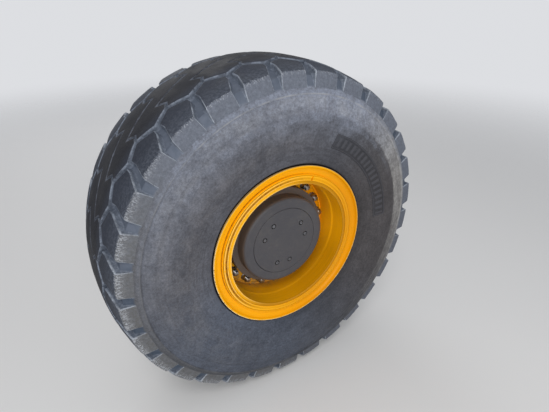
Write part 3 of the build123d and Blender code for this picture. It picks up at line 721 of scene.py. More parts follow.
@dataclass(frozen=True)
class TreadRubber:
    """Worn rubber of the lugs: dark on top, with painted shadow on the crown, scuffed pale at the shoulder,
    dusty in the grooves, whose floors also get painted sky light.

    Reaches are in mm from the crown's middle along the tread's section. Clouds are a scale, a low
    and a high, spots a scale, a detail and a roughness, and pairs of shares go from the first to
    the second.
    """

    top: tuple = (0.024, 0.029, 0.042, 1)
    worn: tuple = (0.046, 0.053, 0.073, 1)
    shaded: tuple = (0.014, 0.013, 0.014, 1)
    edge: tuple = (0.430, 0.470, 0.530, 1)
    flank: tuple = (0.102, 0.110, 0.135, 1)
    sooty: tuple = (0.116, 0.117, 0.121, 1)
    dust: tuple = (0.240, 0.275, 0.340, 1)
    scuff: tuple = (0.480, 0.505, 0.550, 1)
    groove: tuple = (0.055, 0.068, 0.096, 1)
    broad: tuple = (6.0, 0.36, 0.68)
    small: tuple = (85.0, 0.38, 0.66)
    ragged: tuple = (150.0, 5.0, 0.7)
    kept: tuple = (28.0, 4.0, 0.65)
    kept_cut: tuple = (0.36, 0.60)
    grain: tuple = (420.0, 0.5)
    worn_share: float = 0.65
    side_wear: float = 0.55
    pale_share: float = 0.14
    crown_shade: float = 0.72
    grey: tuple = (0.07, 0.18)
    side_reach: tuple = (150.0, 262.0)
    crown_reach: tuple = (150.0, 70.0)
    middle_reach: tuple = (120.0, 60.0)
    shoulder: float = 262.0
    wander: float = 40.0
    flank_reach: tuple = (253.0, 260.0)
    flank_dust: float = 0.16
    top_dust: float = 0.24
    edge_width: tuple = (4.0, 0.6)
    edge_share: tuple = (0.30, 0.92)
    edge_gaps: tuple = (0.22, 0.52)
    edge_side: float = 0.85
    edge_middle: float = 0.75
    wall_depth: tuple = (-0.5, -2.5)
    wall_share: float = 0.9
    groove_dust: float = 0.30
    painted_sky_light: float = 0.26
    least_dust: float = 0.03
    scuff_reach: float = 40.0
    fringe: float = 14.0
    torn_reach: tuple = (250.0, 258.0)
    tears: tuple = (3.0, 0.7)
    tear_round: float = 150.0
    tear_along: float = 0.17
    tear_cut: tuple = (0.55, 0.50)
    tear_soft: float = 0.05
    tear_share: tuple = (0.48, 0.58)
    lug_wear: float = 0.25
    roughness: tuple = (0.62, 0.82)
    specks: float = 0.40
    grain_height: float = 0.5
    ragged_height: float = 0.9
    depth: float = 0.0011
    specular: float = 0.14

    def material(self, effects: Effects) -> bpy.types.Material:
        """Builds the material from the marks edge, reach and lug."""
        coat = Coat("tread_rubber", effects)
        edge, reach = coat.mark("edge"), coat.mark("reach")
        broad, small, ragged = coat.cloud(*self.broad), coat.cloud(*self.small), coat.spots(*self.ragged)
        toward_side = reach.step(*self.side_reach)
        colour = coat.mix(broad * self.worn_share, self.top, self.worn)
        colour = coat.mix(toward_side * (small * self.side_wear), colour, self.worn)
        colour = coat.mix(small * self.pale_share, colour, self.flank)
        colour = coat.mix(toward_side * small.between(*self.grey), colour, self.dust)
        # Painted shadow: the crown is darkened towards its middle in the shaded colour.
        colour = coat.mix(reach.step(*self.crown_reach) * self.crown_shade, colour, self.shaded)
        border = reach + (ragged - 0.5) * self.wander
        scuffed = coat.toward(Side.SCUFFED)
        plain = coat.mix(scuffed, self.flank, self.sooty)
        laid = small * self.flank_dust + coat.toward(Side.TREAD_TOP) * self.top_dust
        colour = coat.mix(border.step(*self.flank_reach), colour, coat.mix(laid, plain, self.dust))
        colour = coat.mix(self.torn(coat, border, scuffed), colour, self.scuff)
        kept = coat.spots(*self.kept).step(*self.kept_cut)
        line = coat.mix(toward_side * self.edge_side, self.dust, self.edge)
        line = coat.mix(reach.step(*self.middle_reach) * self.edge_middle, line, self.flank)
        rim = edge.step(*self.edge_width) * kept.between(*self.edge_share)
        colour = coat.mix(rim * ragged.step(*self.edge_gaps), colour, line)
        # Groove floors: dust in patches, plus painted sky light towards the upper left, both in the dust
        # colour.
        laid = small * self.groove_dust + (coat.toward(Side.SKY) * self.painted_sky_light + self.least_dust)
        deep = coat.mix(laid, self.groove, self.dust)
        colour = coat.mix(edge.step(*self.wall_depth) * self.wall_share, colour, deep)
        relief = coat.grain(*self.grain) * self.grain_height + ragged * self.ragged_height
        colour = coat.specked(colour, self.specks)
        return coat.finished(colour, broad.between(*self.roughness), relief, self.depth, self.specular)

    def torn(self, coat: Coat, border: Value, scuffed: Value) -> Value:
        """Mask of the torn white rubber under the shoulder, strongest on one side of the wheel."""
        end = scuffed.between(self.shoulder + self.fringe, self.shoulder + self.scuff_reach)
        band = border.band(*self.torn_reach, self.shoulder, end)
        around = coat.scaled(coat.where["Spoke"], self.tear_round)
        tears = coat.noise(coat.lifted(around, border * self.tear_along), 1.0, *self.tears)
        cut = scuffed.between(*self.tear_cut)
        share = coat.mark("lug") * self.lug_wear + scuffed.between(*self.tear_share)
        return band * tears.step(cut, cut + self.tear_soft) * share


@dataclass(frozen=True)
class SidewallRubber:
    """Rubber of the casing: dusty grooves with painted sky light, a pale band under the lugs, rings and soft
    smears, and painted light and shade.

    Radii are in metres. Bands are the radii where a mask starts, is full, fades and ends, edges
    those where it starts and is full. Parts are the shares of what adds up to one mask, and tones
    are brightness without and with a mask.
    """

    base: tuple = (0.086, 0.088, 0.102, 1)
    dark: tuple = (0.056, 0.057, 0.066, 1)
    pale: tuple = (0.150, 0.158, 0.188, 1)
    dust: tuple = (0.205, 0.228, 0.285, 1)
    brown: tuple = (0.116, 0.105, 0.100, 1)
    sooty: tuple = (0.108, 0.110, 0.119, 1)
    sand: tuple = (0.235, 0.230, 0.222, 1)
    rub: tuple = (0.400, 0.400, 0.400, 1)
    groove: tuple = (0.048, 0.066, 0.096, 1)
    line: tuple = (0.026, 0.027, 0.032, 1)
    warm_shade_tint: tuple = (1.10, 1.00, 0.90, 1)
    cool_shade_tint: tuple = (0.90, 1.00, 1.12, 1)
    broad: tuple = (2.8, 0.30, 0.72)
    smears: tuple = (16.0, 0.30, 0.76)
    small: tuple = (70.0, 0.30, 0.74)
    settling: tuple = (22.0, 0.36, 0.70)
    streaks: tuple = (2.2, 110.0, 0.36, 0.70)
    fine_streaks: tuple = (3.0, 900.0, 0.42, 0.66)
    blots: tuple = (34.0, 7.0, 0.78)
    blot_cut: tuple = (0.34, 0.66)
    torn: tuple = (16.0, 4.0, 0.7)
    torn_cut: tuple = (0.40, 0.62)
    grain: tuple = (520.0, 0.3)
    streak_share: float = 0.16
    pale_share: float = 0.18
    brown_band: tuple = (0.43, 0.50, 0.57, 0.66)
    brown_side: tuple = (0.45, 1.0)
    brown_share: float = 0.45
    left_light_and_shade: tuple = (0.76, 1.18)
    smear_tone: tuple = (0.86, 1.14)
    bead: tuple = (0.45, 0.39)
    rim_shade_side: tuple = (0.8, 0.1)
    rim_shade_share: float = 0.45
    dusting: tuple = (0.470, 0.700)
    dusting_wander: float = 0.05
    ridge_edge: tuple = (0.592, 0.603)
    ridge_wander: float = 0.006
    dust_parts: tuple = (0.34, 0.56, 0.28)
    sand_band: tuple = (0.596, 0.612, 0.655, 0.668)
    sand_share: float = 0.35
    hazy_edge: tuple = (0.584, 0.612)
    hazy_tone: tuple = (1.0, 1.42)
    halo_band: tuple = (0.565, 0.573, 0.579, 0.595)
    halo_wander: float = 0.010
    halo_share: float = 0.50
    outer_edge: tuple = (0.6645, 0.6705)
    outer_share: float = 0.75
    low_edge_shade: tuple = (1.0, 0.58)
    belt_band: tuple = (0.605, 0.615, 0.617, 0.623)
    belt_shade_share: tuple = (0.04, 0.18)
    crest_band: tuple = (0.6675, 0.673, 0.680, 0.690)
    crest_side: tuple = (0.04, 1.0)
    crest_share: tuple = (0.15, 0.60)
    fold_band: tuple = (0.6605, 0.6655, 0.6670, 0.6710)
    fold_shade_parts: tuple = (0.50, 0.06)
    lip_band: tuple = (0.6655, 0.6685, 0.6715, 0.6750)
    lip_wear_and_highlight: tuple = (-0.16, 0.22, 0.24)
    lip_torn: tuple = (0.25, 1.0)
    thin_band: tuple = (0.6160, 0.6180, 0.6195, 0.6215)
    thin_share: float = 0.24
    groove_edge: tuple = (0.690, 0.700)
    groove_dust_and_sky_light: tuple = (0.24, 0.32)
    flange_gap_shade: tuple = (0.390, 0.386)
    panel_inner: float = 0.474
    panel_outer: float = 0.525
    panel_start: float = 0.07
    panel_end: float = 1.18
    panel_frame: float = 0.0065
    panel_side: tuple = (0.05, -0.05)
    panel_shade: float = 0.55
    frame_shade: float = 0.65
    raised_share: float = 0.55
    roughness: tuple = (0.60, 0.80)
    specks: float = 0.62
    grain_height: float = 0.35
    streak_height: float = 0.06
    depth: float = 0.0009
    specular: float = 0.15

    def panel(self, coat: Coat, spread: float) -> Value:
        """Mask of the ribbed panel, or of its frame where spread makes it larger, in metres."""
        soft = 0.001
        inner, outer = self.panel_inner - spread, self.panel_outer + spread
        start, end = self.panel_start - 2 * spread, self.panel_end + 2 * spread
        ring = coat.where["Radius"].band(inner - soft, inner, outer, outer + soft)
        arc = coat.where["Turn"].band(start - 2 * soft, start, end, end + 2 * soft)
        return coat.where["Across"].step(*self.panel_side) * (ring * arc)

    def laid_dust(self, coat: Coat, radius: Value, smears: Value, blots: Value) -> tuple[Value, Value]:
        """Share of the dust by radius and side, and its colour, sandy on the right.

        Args:
            coat: the material.
            radius: the point's radius.
            smears: mask of soft smears.
            blots: mask of ragged blots.

        Returns:
            The share and the colour.
        """
        right = coat.toward(Side.WALL_RIGHT)
        ramp = (radius + smears * self.dusting_wander).step(*self.dusting)
        ridge = (radius + (blots - 0.5) * self.ridge_wander).step(*self.ridge_edge)
        soft, ragged, least = self.dust_parts
        cloud = smears * soft + blots * ragged
        share = coat.toward(Side.WALL_TOP) * right.between(ramp, ridge) * (cloud + least)
        beige = right.most(radius.band(*self.sand_band) * (smears * self.sand_share))
        return share, coat.mix(beige, self.dust, self.sand)

    def plain(self, coat: Coat) -> Value:
        """Colour of the plain rubber: dusty above, with painted light on the left, painted shade tinted warm
        on the right, and a cool painted shade tint below.
        """
        radius, up = coat.where["Radius"], coat.toward(Side.WALL_TOP)
        smears, small = coat.cloud(*self.smears), coat.cloud(*self.small)
        blots = coat.spots(*self.blots).step(*self.blot_cut)
        left = coat.toward(Side.WALL_LEFT)
        colour = coat.mix(coat.cloud(*self.broad), self.dark, self.base)
        colour = coat.mix(coat.drawn(*self.streaks) * self.streak_share, colour, self.pale)
        colour = coat.mix(small * self.pale_share, colour, self.pale)
        smeared = radius.band(*self.brown_band) * left.step(*self.brown_side) * smears
        colour = coat.mix(smeared * self.brown_share, colour, self.brown)
        # Painted light and shade: the wall is made lighter on the left and darker on the right.
        colour = coat.scaled(colour, left.between(*self.left_light_and_shade))
        colour = coat.scaled(colour, smears.between(*self.smear_tone))
        # Painted shade near the rim: the wall darkens towards the bead, except on the left side.
        bead = radius.step(*self.bead) * left.step(*self.rim_shade_side)
        colour = coat.mix(bead * self.rim_shade_share, colour, self.line)
        # Painted shade tints: warmer on the right side of the wall and cooler at its bottom.
        colour = coat.mix(coat.toward(Side.WALL_RIGHT), colour, self.warm_shade_tint, "MULTIPLY")
        colour = coat.mix(coat.toward(Side.LOW_WALL), colour, self.cool_shade_tint, "MULTIPLY")
        share, dust = self.laid_dust(coat, radius, smears, blots)
        colour = coat.mix(share, colour, dust)
        hazy = coat.toward(Side.HAZY_RIGHT) * radius.step(*self.hazy_edge)
        colour = coat.scaled(colour, hazy.between(*self.hazy_tone))
        halo = (radius + (smears - 0.5) * self.halo_wander).band(*self.halo_band)
        colour = coat.mix(halo * coat.toward(Side.HIGH_TOP) * (blots * self.halo_share), colour, self.dust)
        outer = radius.step(*self.outer_edge) * self.outer_share
        colour = coat.mix(outer * coat.toward(Side.SCUFFED), colour, self.sooty)
        # Painted shade: the outer edge under the lugs is darkened at the bottom of the wheel.
        colour = coat.scaled(colour, (outer * coat.toward(Side.LOW_EDGE)).between(*self.low_edge_shade))
        # Painted shade along the belt's step on the left side of the wall.
        edge = radius.band(*self.belt_band) * coat.toward(Side.BELT_LEFT)
        colour = coat.mix(edge * smears.between(*self.belt_shade_share), colour, self.line)
        crest = radius.band(*self.crest_band)
        laid = up.between(*self.crest_side) * blots.between(*self.crest_share)
        colour = coat.mix(crest * laid, colour, self.dust)
        return coat.specked(colour, self.specks)

    def material(self, effects: Effects) -> bpy.types.Material:
        """Builds the material from the place on the wheel and the mark raised."""
        coat = Coat("sidewall_rubber", effects)
        radius = coat.where["Radius"]
        smears, torn = coat.cloud(*self.settling), coat.spots(*self.torn).step(*self.torn_cut)
        low = coat.toward(Side.LOW_LEFT)
        # Painted shade in the crease above the lugs' feet, strongest at the lower left.
        most, least = self.fold_shade_parts
        fold = radius.band(*self.fold_band) * (low * smears * most + least)
        colour = coat.mix(fold, self.plain(coat), self.line)
        # The crease's lip is worn pale in torn patches and carries a painted highlight, stronger on the upper
        # right and weaker at the lower left.
        left, right, least = self.lip_wear_and_highlight
        rubbed_and_lit = low * left + coat.toward(Side.LIP_RIGHT) * right + least
        lip = radius.band(*self.lip_band) * rubbed_and_lit
        colour = coat.mix(lip * torn.between(*self.lip_torn), colour, self.rub)
        thin = radius.band(*self.thin_band) * coat.toward(Side.FAR_RIGHT)
        colour = coat.mix(thin * (torn * self.thin_share), colour, self.rub)
        # Groove floors: dust in smears, plus painted sky light towards the upper left, both in the dust
        # colour.
        soft, top = self.groove_dust_and_sky_light
        floor = coat.mix(smears * soft + coat.toward(Side.SKY) * top, self.groove, self.dust)
        colour = coat.mix(radius.step(*self.groove_edge), colour, floor)
        panel = self.panel(coat, 0.0)
        frame = self.panel(coat, self.panel_frame) - panel
        colour = coat.mix(panel * self.panel_shade, colour, self.line)
        colour = coat.mix(frame * self.frame_shade, colour, self.line)
        colour = coat.mix(coat.mark("raised") * self.raised_share, colour, self.base)
        # Painted shadow in the gap where the tyre meets the rim's flange.
        colour = coat.mix(radius.step(*self.flange_gap_shade), colour, self.line)
        streaks = coat.drawn(*self.fine_streaks) * self.streak_height
        relief = coat.grain(*self.grain) * self.grain_height + streaks
        return coat.finished(colour, smears.between(*self.roughness), relief, self.depth, self.specular)


@dataclass(frozen=True)
class RimEnamel:
    """Orange-yellow enamel: clean on the flange, dull in the dish, rusty in the joints, worn at the lip, with
    painted shade and highlights.

    Radii and distances across are in metres. A joint is a radius, a distance across, half a width
    and a strength, and a crest is a radius and half a width.
    """

    paint: tuple = (0.970, 0.455, 0.002, 1)
    deep: tuple = (0.880, 0.375, 0.001, 1)
    dull: tuple = (0.490, 0.222, 0.002, 1)
    inner_dull: tuple = (0.620, 0.262, 0.004, 1)
    gutter: tuple = (0.470, 0.200, 0.002, 1)
    shady: tuple = (0.740, 0.292, 0.001, 1)
    rust: tuple = (0.120, 0.017, 0.009, 1)
    grime: tuple = (0.230, 0.180, 0.110, 1)
    lip_highlight_tint: tuple = (0.980, 0.840, 0.520, 1)
    cream: tuple = (0.980, 0.700, 0.260, 1)
    crests: tuple = ((0.3290, 0.0022), (0.3138, 0.0022), (0.2990, 0.0030))
    joints: tuple = (
        (0.3385, -0.2560, 0.0042, 0.75),
        (0.3343, -0.2675, 0.0024, 0.70),
        (0.3209, -0.2670, 0.0056, 1.00),
        (0.3111, -0.2662, 0.0018, 0.60),
    )
    joint_core: float = 0.55
    joint_side: tuple = (0.10, 1.0)
    joint_breaks: tuple = (0.65, 1.0)
    crest_core: float = 0.3
    crest_side: tuple = (0.04, 0.60)
    lip_highlight_edge: tuple = (0.3787, 0.3797)
    lip_top_edge: tuple = (0.3781, 0.3795)
    lip_top_darkening: float = 0.65
    lip_highlight_side: tuple = (0.30, 0.95)
    chip_edge: tuple = (0.3735, 0.3787)
    chip_cut: tuple = (0.570, 0.590)
    chip_x: tuple = (-0.10, -0.75)
    chip_z: tuple = (0.45, 0.15)
    bore: tuple = (0.2975, 0.2950)
    bore_mouth: tuple = (-0.092, -0.100)
    bore_depth: tuple = (-0.235, -0.125)
    gutter_radius: tuple = (0.3115, 0.3095)
    gutter_face: tuple = (-0.2600, -0.2640)
    crest_face: tuple = (-0.2600, -0.2650)
    corner: tuple = (-0.150, -0.100)
    behind: tuple = (-0.060, -0.040)
    behind_share: tuple = (0.20, 0.60)
    deep_share: float = 0.15
    shady_share: float = 0.70
    gutter_share: float = 0.85
    settled_side: tuple = (-0.35, -0.92)
    settled_share: tuple = (0.30, 0.90)
    dusting: float = 0.06
    broad: tuple = (7.0, 0.36, 0.70)
    small: tuple = (60.0, 0.50, 0.66)
    lines: tuple = (1.2, 210.0, 0.42, 0.62)
    rubs: tuple = (60.0, 3.0, 0.6)
    rub_cut: tuple = (0.30, 0.50)
    chips: tuple = (110.0, 5.0, 0.75)
    peel: tuple = (130.0, 2.0, 0.5)
    lit: tuple = (1.35, 0.95)
    lit_low: float = 0.30
    film_lines: tuple = (0.72, 1.0)
    roughness: float = 0.36
    dust_roughness: float = 0.5
    chip_roughness: float = 0.85
    peel_height: float = 0.18
    chip_depth: float = 0.9
    depth: float = 0.0005
    specular: float = 0.13

    def joint_lines(self, coat: Coat, breaks: Value) -> Value:
        """Mask of the dark lines in the joints between the rings, broken up, strongest on one side."""
        total: Input = 0.0
        for at_radius, at_across, half, strength in self.joints:
            out, along = coat.where["Radius"] - at_radius, coat.where["Across"] - at_across
            off = coat.math("SQRT", out * out + along * along)
            total = (off.step(half, half * self.joint_core) * strength).most(total)
        side = coat.toward(Side.JOINTS).between(*self.joint_side)
        return total * side * breaks.between(*self.joint_breaks)

    def crest_highlights(self, coat: Coat) -> Value:
        """Mask of painted highlights on the crests of the lock ring and gutter, strongest on one side."""
        total: Input = 0.0
        for at_radius, half in self.crests:
            off = coat.math("ABSOLUTE", coat.where["Radius"] - at_radius)
            total = off.step(half, half * self.crest_core).most(total)
        face = coat.where["Across"].step(*self.crest_face)
        return total * face * coat.toward(Side.CRESTS).between(*self.crest_side)

    def dull_film_and_shade(self, coat: Coat, colour: Value, inside: Value) -> Value:
        """Colour of the bore's wall: a dull film that is partly dirt and partly painted shade, with painted
        light where the open side lights it.
        """
        across = coat.where["Across"]
        deep = across.step(*self.bore_depth)
        lit = coat.toward(Side.BORE_RIGHT) * deep.between(*self.lit)
        light = lit + coat.toward(Side.BORE_LOW) * self.lit_low + 1.0
        film = coat.scaled(coat.mix(deep, self.dull, self.inner_dull), light)
        wall = inside * across.step(*self.bore_mouth)
        return coat.mix(wall * coat.drawn(*self.lines).between(*self.film_lines), colour, film)

    def material(self, effects: Effects) -> bpy.types.Material:
        """Builds the material from the place on the wheel."""
        coat = Coat("rim_enamel", effects)
        radius, across = coat.where["Radius"], coat.where["Across"]
        broad, small = coat.cloud(*self.broad), coat.cloud(*self.small)
        colour = coat.mix(broad * self.deep_share, self.paint, self.deep)
        # Painted shade: the enamel is darker on the right side of the rim.
        colour = coat.mix(coat.toward(Side.RIM_RIGHT) * self.shady_share, colour, self.shady)
        inside = radius.step(*self.bore)
        # Dull film in the bore, partly dirt and partly painted shade, with painted light on the lit side.
        colour = self.dull_film_and_shade(coat, colour, inside)
        face = radius.step(*self.gutter_radius) * across.step(*self.gutter_face)
        colour = coat.mix(face * coat.toward(Side.NOT_JOINTS) * self.gutter_share, colour, self.gutter)
        x, _, z = coat.split(coat.where["Spoke"])
        corner = across.step(*self.corner) * inside
        settled = z.step(*self.settled_side) * corner * small.between(*self.settled_share)
        dusting = inside * small * self.dusting
        colour = coat.mix(dusting.most(settled), colour, self.grime)
        hidden = across.step(*self.behind) * broad.between(*self.behind_share)
        colour = coat.mix(hidden, colour, self.grime)
        rub = coat.spots(*self.rubs).step(*self.rub_cut)
        # Painted highlights in cream on the crests, broken up in spots.
        colour = coat.mix(self.crest_highlights(coat) * rub, colour, self.cream)
        colour = coat.mix(self.joint_lines(coat, small), colour, self.rust)
        # Painted highlight on the flange's outer edge, strongest at the bottom, broken up in spots.
        lip_lit = coat.toward(Side.LIP_LOW).between(*self.lip_highlight_side)
        colour = coat.mix(radius.step(*self.lip_highlight_edge) * rub * lip_lit, colour, self.lip_highlight_tint)
        # The flange's outer edge is made darker at the top, mixed towards the grime colour.
        lip_top_mask = radius.step(*self.lip_top_edge) * coat.toward(Side.LIP_TOP)
        colour = coat.mix(lip_top_mask * self.lip_top_darkening, colour, self.grime)
        chips = coat.spots(*self.chips).step(*self.chip_cut)
        side = x.step(*self.chip_x) * z.step(*self.chip_z)
        chipped = chips * radius.step(*self.chip_edge) * side
        colour = coat.mix(chipped, colour, self.rust)
        dull = settled.most(dusting) * self.dust_roughness + self.roughness
        rough = dull.most(chipped * self.chip_roughness)
        relief = coat.spots(*self.peel) * self.peel_height - chipped * self.chip_depth
        return coat.finished(colour, rough, relief, self.depth, self.specular)


@dataclass(frozen=True)
class CastPaint:
    """Dark satin paint on cast iron, with dust on it, and painted shade outside the radius skirt."""

    name: str
    paint: tuple
    dust: tuple = (0.160, 0.150, 0.135, 1)
    dusting: float = 0.4
    roughness: float = 0.48
    relief: float = 0.0005
    skirt: float = 0.0
    skirt_shade: tuple = (0.115, 0.090, 0.074, 1)
    broad: tuple = (8.0, 0.38, 0.68)
    small: tuple = (70.0, 0.46, 0.64)
    streaks: tuple = (5.0, 420.0, 0.46, 0.68)
    grain: tuple = (260.0, 0.6)
    dust_cover: tuple = (0.35, 1.0)
    dust_roughness: float = 0.4
    streak_share: float = 0.12
    skirt_soft: float = 0.004
    skirt_share: float = 0.8
    specular: float = 0.30

    def material(self, effects: Effects) -> bpy.types.Material:
        """Builds the material."""
        coat = Coat(self.name, effects)
        cover = coat.cloud(*self.small).between(*self.dust_cover)
        dusty = coat.cloud(*self.broad) * cover * self.dusting
        colour = coat.mix(dusty, self.paint, self.dust)
        colour = coat.mix(coat.drawn(*self.streaks) * self.streak_share, colour, self.dust)
        # Painted shade on the side of the drum, outside the skirt radius.
        if self.skirt:
            shaded_skirt = coat.where["Radius"].step(self.skirt - self.skirt_soft, self.skirt)
            colour = coat.mix(shaded_skirt * self.skirt_share, colour, self.skirt_shade)
        rough = dusty * self.dust_roughness + self.roughness
        return coat.finished(colour, rough, coat.grain(*self.grain), self.relief, self.specular)


@dataclass(frozen=True)
class BareMetal:
    """Bare or blackened metal with turning marks and a little oil or rust."""

    name: str
    metal: tuple
    stain: tuple = (0.060, 0.045, 0.035, 1)
    staining: float = 0.4
    roughness: float = 0.32
    relief: float = 0.00012
    broad: tuple = (34.0, 0.40, 0.66)
    marks: tuple = (4.0, 2600.0, 0.35, 0.70)
    metallic: tuple = (1.0, 0.4)
    stain_roughness: float = 0.4
    mark_roughness: float = 0.08
    mark_height: float = 0.4

    def material(self, effects: Effects) -> bpy.types.Material:
        """Builds the material."""
        coat = Coat(self.name, effects)
        broad, marks = coat.cloud(*self.broad), coat.drawn(*self.marks)
        stained = broad * self.staining
        colour = coat.mix(stained, self.metal, self.stain)
        coat.put(coat.shader.inputs["Metallic"], stained.between(*self.metallic))
        rough = stained * self.stain_roughness + self.roughness + marks * self.mark_roughness
        return coat.finished(colour, rough, marks * self.mark_height + broad, self.relief)


# Tyre


def moved_in(outline: np.ndarray, gaps: np.ndarray, extra: float) -> np.ndarray:
    """Moves each side of an outline inwards and crosses neighbours to find the new corners.

    A side's start moves in by its first gap and its end by its second, both plus the extra. Two
    lines P + s D and Q + t E cross at s = ((Q - P) x E) / (D x E).

    Args:
        outline: corners, counted anticlockwise, mm.
        gaps: for each side, how far its start and its end move.
        extra: added to all gaps.

    Returns:
        New corners.
    """
    ahead = np.roll(outline, -1, axis=0)
    along = ahead - outline
    inward = np.stack([-along[:, 1], along[:, 0]], axis=1) / np.linalg.norm(along, axis=1)[:, None]
    start = outline + inward * (gaps[:, :1] + extra)
    end = ahead + inward * (gaps[:, 1:] + extra)
    p, d = np.roll(start, 1, axis=0), np.roll(end - start, 1, axis=0)
    q, e = start, end - start
    cross = d[:, 0] * e[:, 1] - d[:, 1] * e[:, 0]
    share = ((q - p)[:, 0] * e[:, 1] - (q - p)[:, 1] * e[:, 0]) / cross
    return p + d * share[:, None]


def walked(corners: np.ndarray, steps: np.ndarray) -> np.ndarray:
    """Points along a closed outline, each side cut into its own number of equal steps."""
    side = np.repeat(np.arange(len(corners)), steps)
    first = np.repeat(np.cumsum(steps) - steps, steps)
    share = ((np.arange(steps.sum()) - first) / steps[side])[:, None]
    ahead = np.roll(corners, -1, axis=0)
    return corners[side] * (1 - share) + ahead[side] * share


@dataclass
class BlockPlan:
    """Plan of one tread block: its outline between groove middles, and how its top is gridded.

    Gaps are how far each side's start and end stand off the outline, and steps how many points a
    side gets. The corners are the three where the grid's bottom, right side and top end. Above
    bend_start, a share of the grid's height, its rows take up the bend of the top.
    """

    outline: np.ndarray
    gaps: np.ndarray
    steps: np.ndarray
    corners: tuple[int, int, int]
    bend_start: float

    def loops(self, insets: np.ndarray) -> np.ndarray:
        """Outline points at each inset, innermost first."""
        return np.stack([walked(moved_in(self.outline, self.gaps, inset), self.steps) for inset in insets])

    def filled(self, loop: np.ndarray) -> tuple[np.ndarray, np.ndarray]:
        """Grid inside a loop, bent from one side to the other.

        With s across and t along, point = (1-s) left(t) + s right(t) + b (top(s) - its straight
        line) + c (bottom(s) - its straight line). Here b grows from 0 at bend_start to 1, and c
        falls from 1 to 0 where the bend starts at 0, and is 0 otherwise.

        Args:
            loop: points of the innermost loop.

        Returns:
            The inner points, and the numbers of all grid points, loop ones first.
        """
        marks = np.concatenate([[0], np.cumsum(self.steps)])
        one, two, three = (marks[number] for number in self.corners)
        count = len(loop)
        bottom, right = np.arange(0, one + 1), np.arange(one, two + 1)
        top = np.arange(two, three + 1)[::-1]
        left = np.append(np.arange(three, count), 0)[::-1]
        s = np.linspace(0, 1, len(bottom))[None, :, None]
        t = np.linspace(0, 1, len(right))[:, None, None]
        rise = np.clip((t - self.bend_start) / (1 - self.bend_start), 0, 1)
        fall = np.clip(1 - t, 0, 1) if self.bend_start == 0 else 0 * t
        lines = (1 - s) * loop[left][:, None] + s * loop[right][:, None]
        for share, edge in ((rise, top), (fall, bottom)):
            lines = lines + share * (loop[edge][None] - ((1 - s) * loop[edge[0]] + s * loop[edge[-1]]))
        number = np.zeros(lines.shape[:2], dtype=int)
        number[0], number[-1], number[:, 0], number[:, -1] = bottom, top, left, right
        inner = np.arange((len(right) - 2) * (len(bottom) - 2)) + count
        number[1:-1, 1:-1] = inner.reshape(len(right) - 2, -1)
        return lines[1:-1, 1:-1].reshape(-1, 2), number


@dataclass
class RibbedPanel:
    """Raised frame and plain ribs on the open side, as thin as moulded marks, in mm."""

    rubber: SidewallRubber
    ribs: int = 18
    height: float = 2.0
    frame: float = 6.0
    soft: float = 1.2
    buried: float = -0.7
    thickness: float = 0.8
    rib_end: float = 5.0
    rib_slope: float = 3.0
    rib_bias: float = 0.3
    rows: int = 44
    steps: int = 420

    def raised(self, radius: np.ndarray, angle: np.ndarray) -> np.ndarray:
        """How far each point is raised, 0 to 1.

        It is 1 in the frame, which runs round the panel, and in a rib, where sin(ribs x turn) is
        positive, with soft edges.

        Args:
            radius: radii of the grid's columns.
            angle: angles of its rows, degrees.

        Returns:
            Share of the full height by row and column.
        """
        rubber = self.rubber
        inner, outer = rubber.panel_inner / METRE, rubber.panel_outer / METRE
        turn = np.radians(angle)
        from_ring = np.minimum(radius - inner, outer - radius)
        from_end = np.minimum(turn - rubber.panel_start, rubber.panel_end - turn) * (inner + outer) / 2
        inside = np.minimum(from_ring, from_end)
        border = np.clip(-inside / self.soft, 0, 1) * np.clip((inside + self.frame) / self.soft, 0, 1)
        share = (turn - rubber.panel_start) / (rubber.panel_end - rubber.panel_start)
        wave = np.sin(2 * np.pi * self.ribs * share)
        rib = np.clip(wave * self.rib_slope + self.rib_bias, 0, 1)
        return np.maximum(border, rib * np.clip((inside - self.rib_end) / self.soft, 0, 1))

    def build(self, wall: np.ndarray, dress: Dress) -> None:
        """Builds the panel on the wall: height = buried + raised (height - buried) above it.

        Args:
            wall: rows of radius and across of the tyre's outer wall.
            dress: how the panel is shown.
        """
        rubber = self.rubber
        inner, outer = rubber.panel_inner / METRE, rubber.panel_outer / METRE
        slack = self.frame / ((inner + outer) / 2)
        radius = np.linspace(inner - self.frame, outer + self.frame, self.rows)[None, :]
        ends = np.degrees([rubber.panel_start - slack, rubber.panel_end + slack])
        angle = np.linspace(*ends, self.steps)[:, None]
        raised = self.raised(radius, angle)
        level = np.interp(radius, *wall[::-1].T) + self.buried
        top = -(level + raised * (self.height - self.buried))
        under = self.thickness - level + 0 * top
        wide = np.broadcast_to(radius, top.shape)
        both, across, marks = (
            np.concatenate([first, second[:, ::-1]], axis=1)
            for first, second in ((wide, wide), (top, under), (raised, raised))
        )
        points = ring_point(angle, both, across)
        rows, columns = across.shape
        step = np.arange(columns // 2 - 1)
        cap = np.stack([step, step + 1, columns - 2 - step, columns - 1 - step], axis=1)
        faces = [grid_faces(rows, columns, False, True), cap, cap + (rows - 1) * columns]
        name = "sidewall_ribs"
        dressed(name, closed_mesh(name, points, faces, {"raised": marks}), replace(dress, smooth_below=50.0))


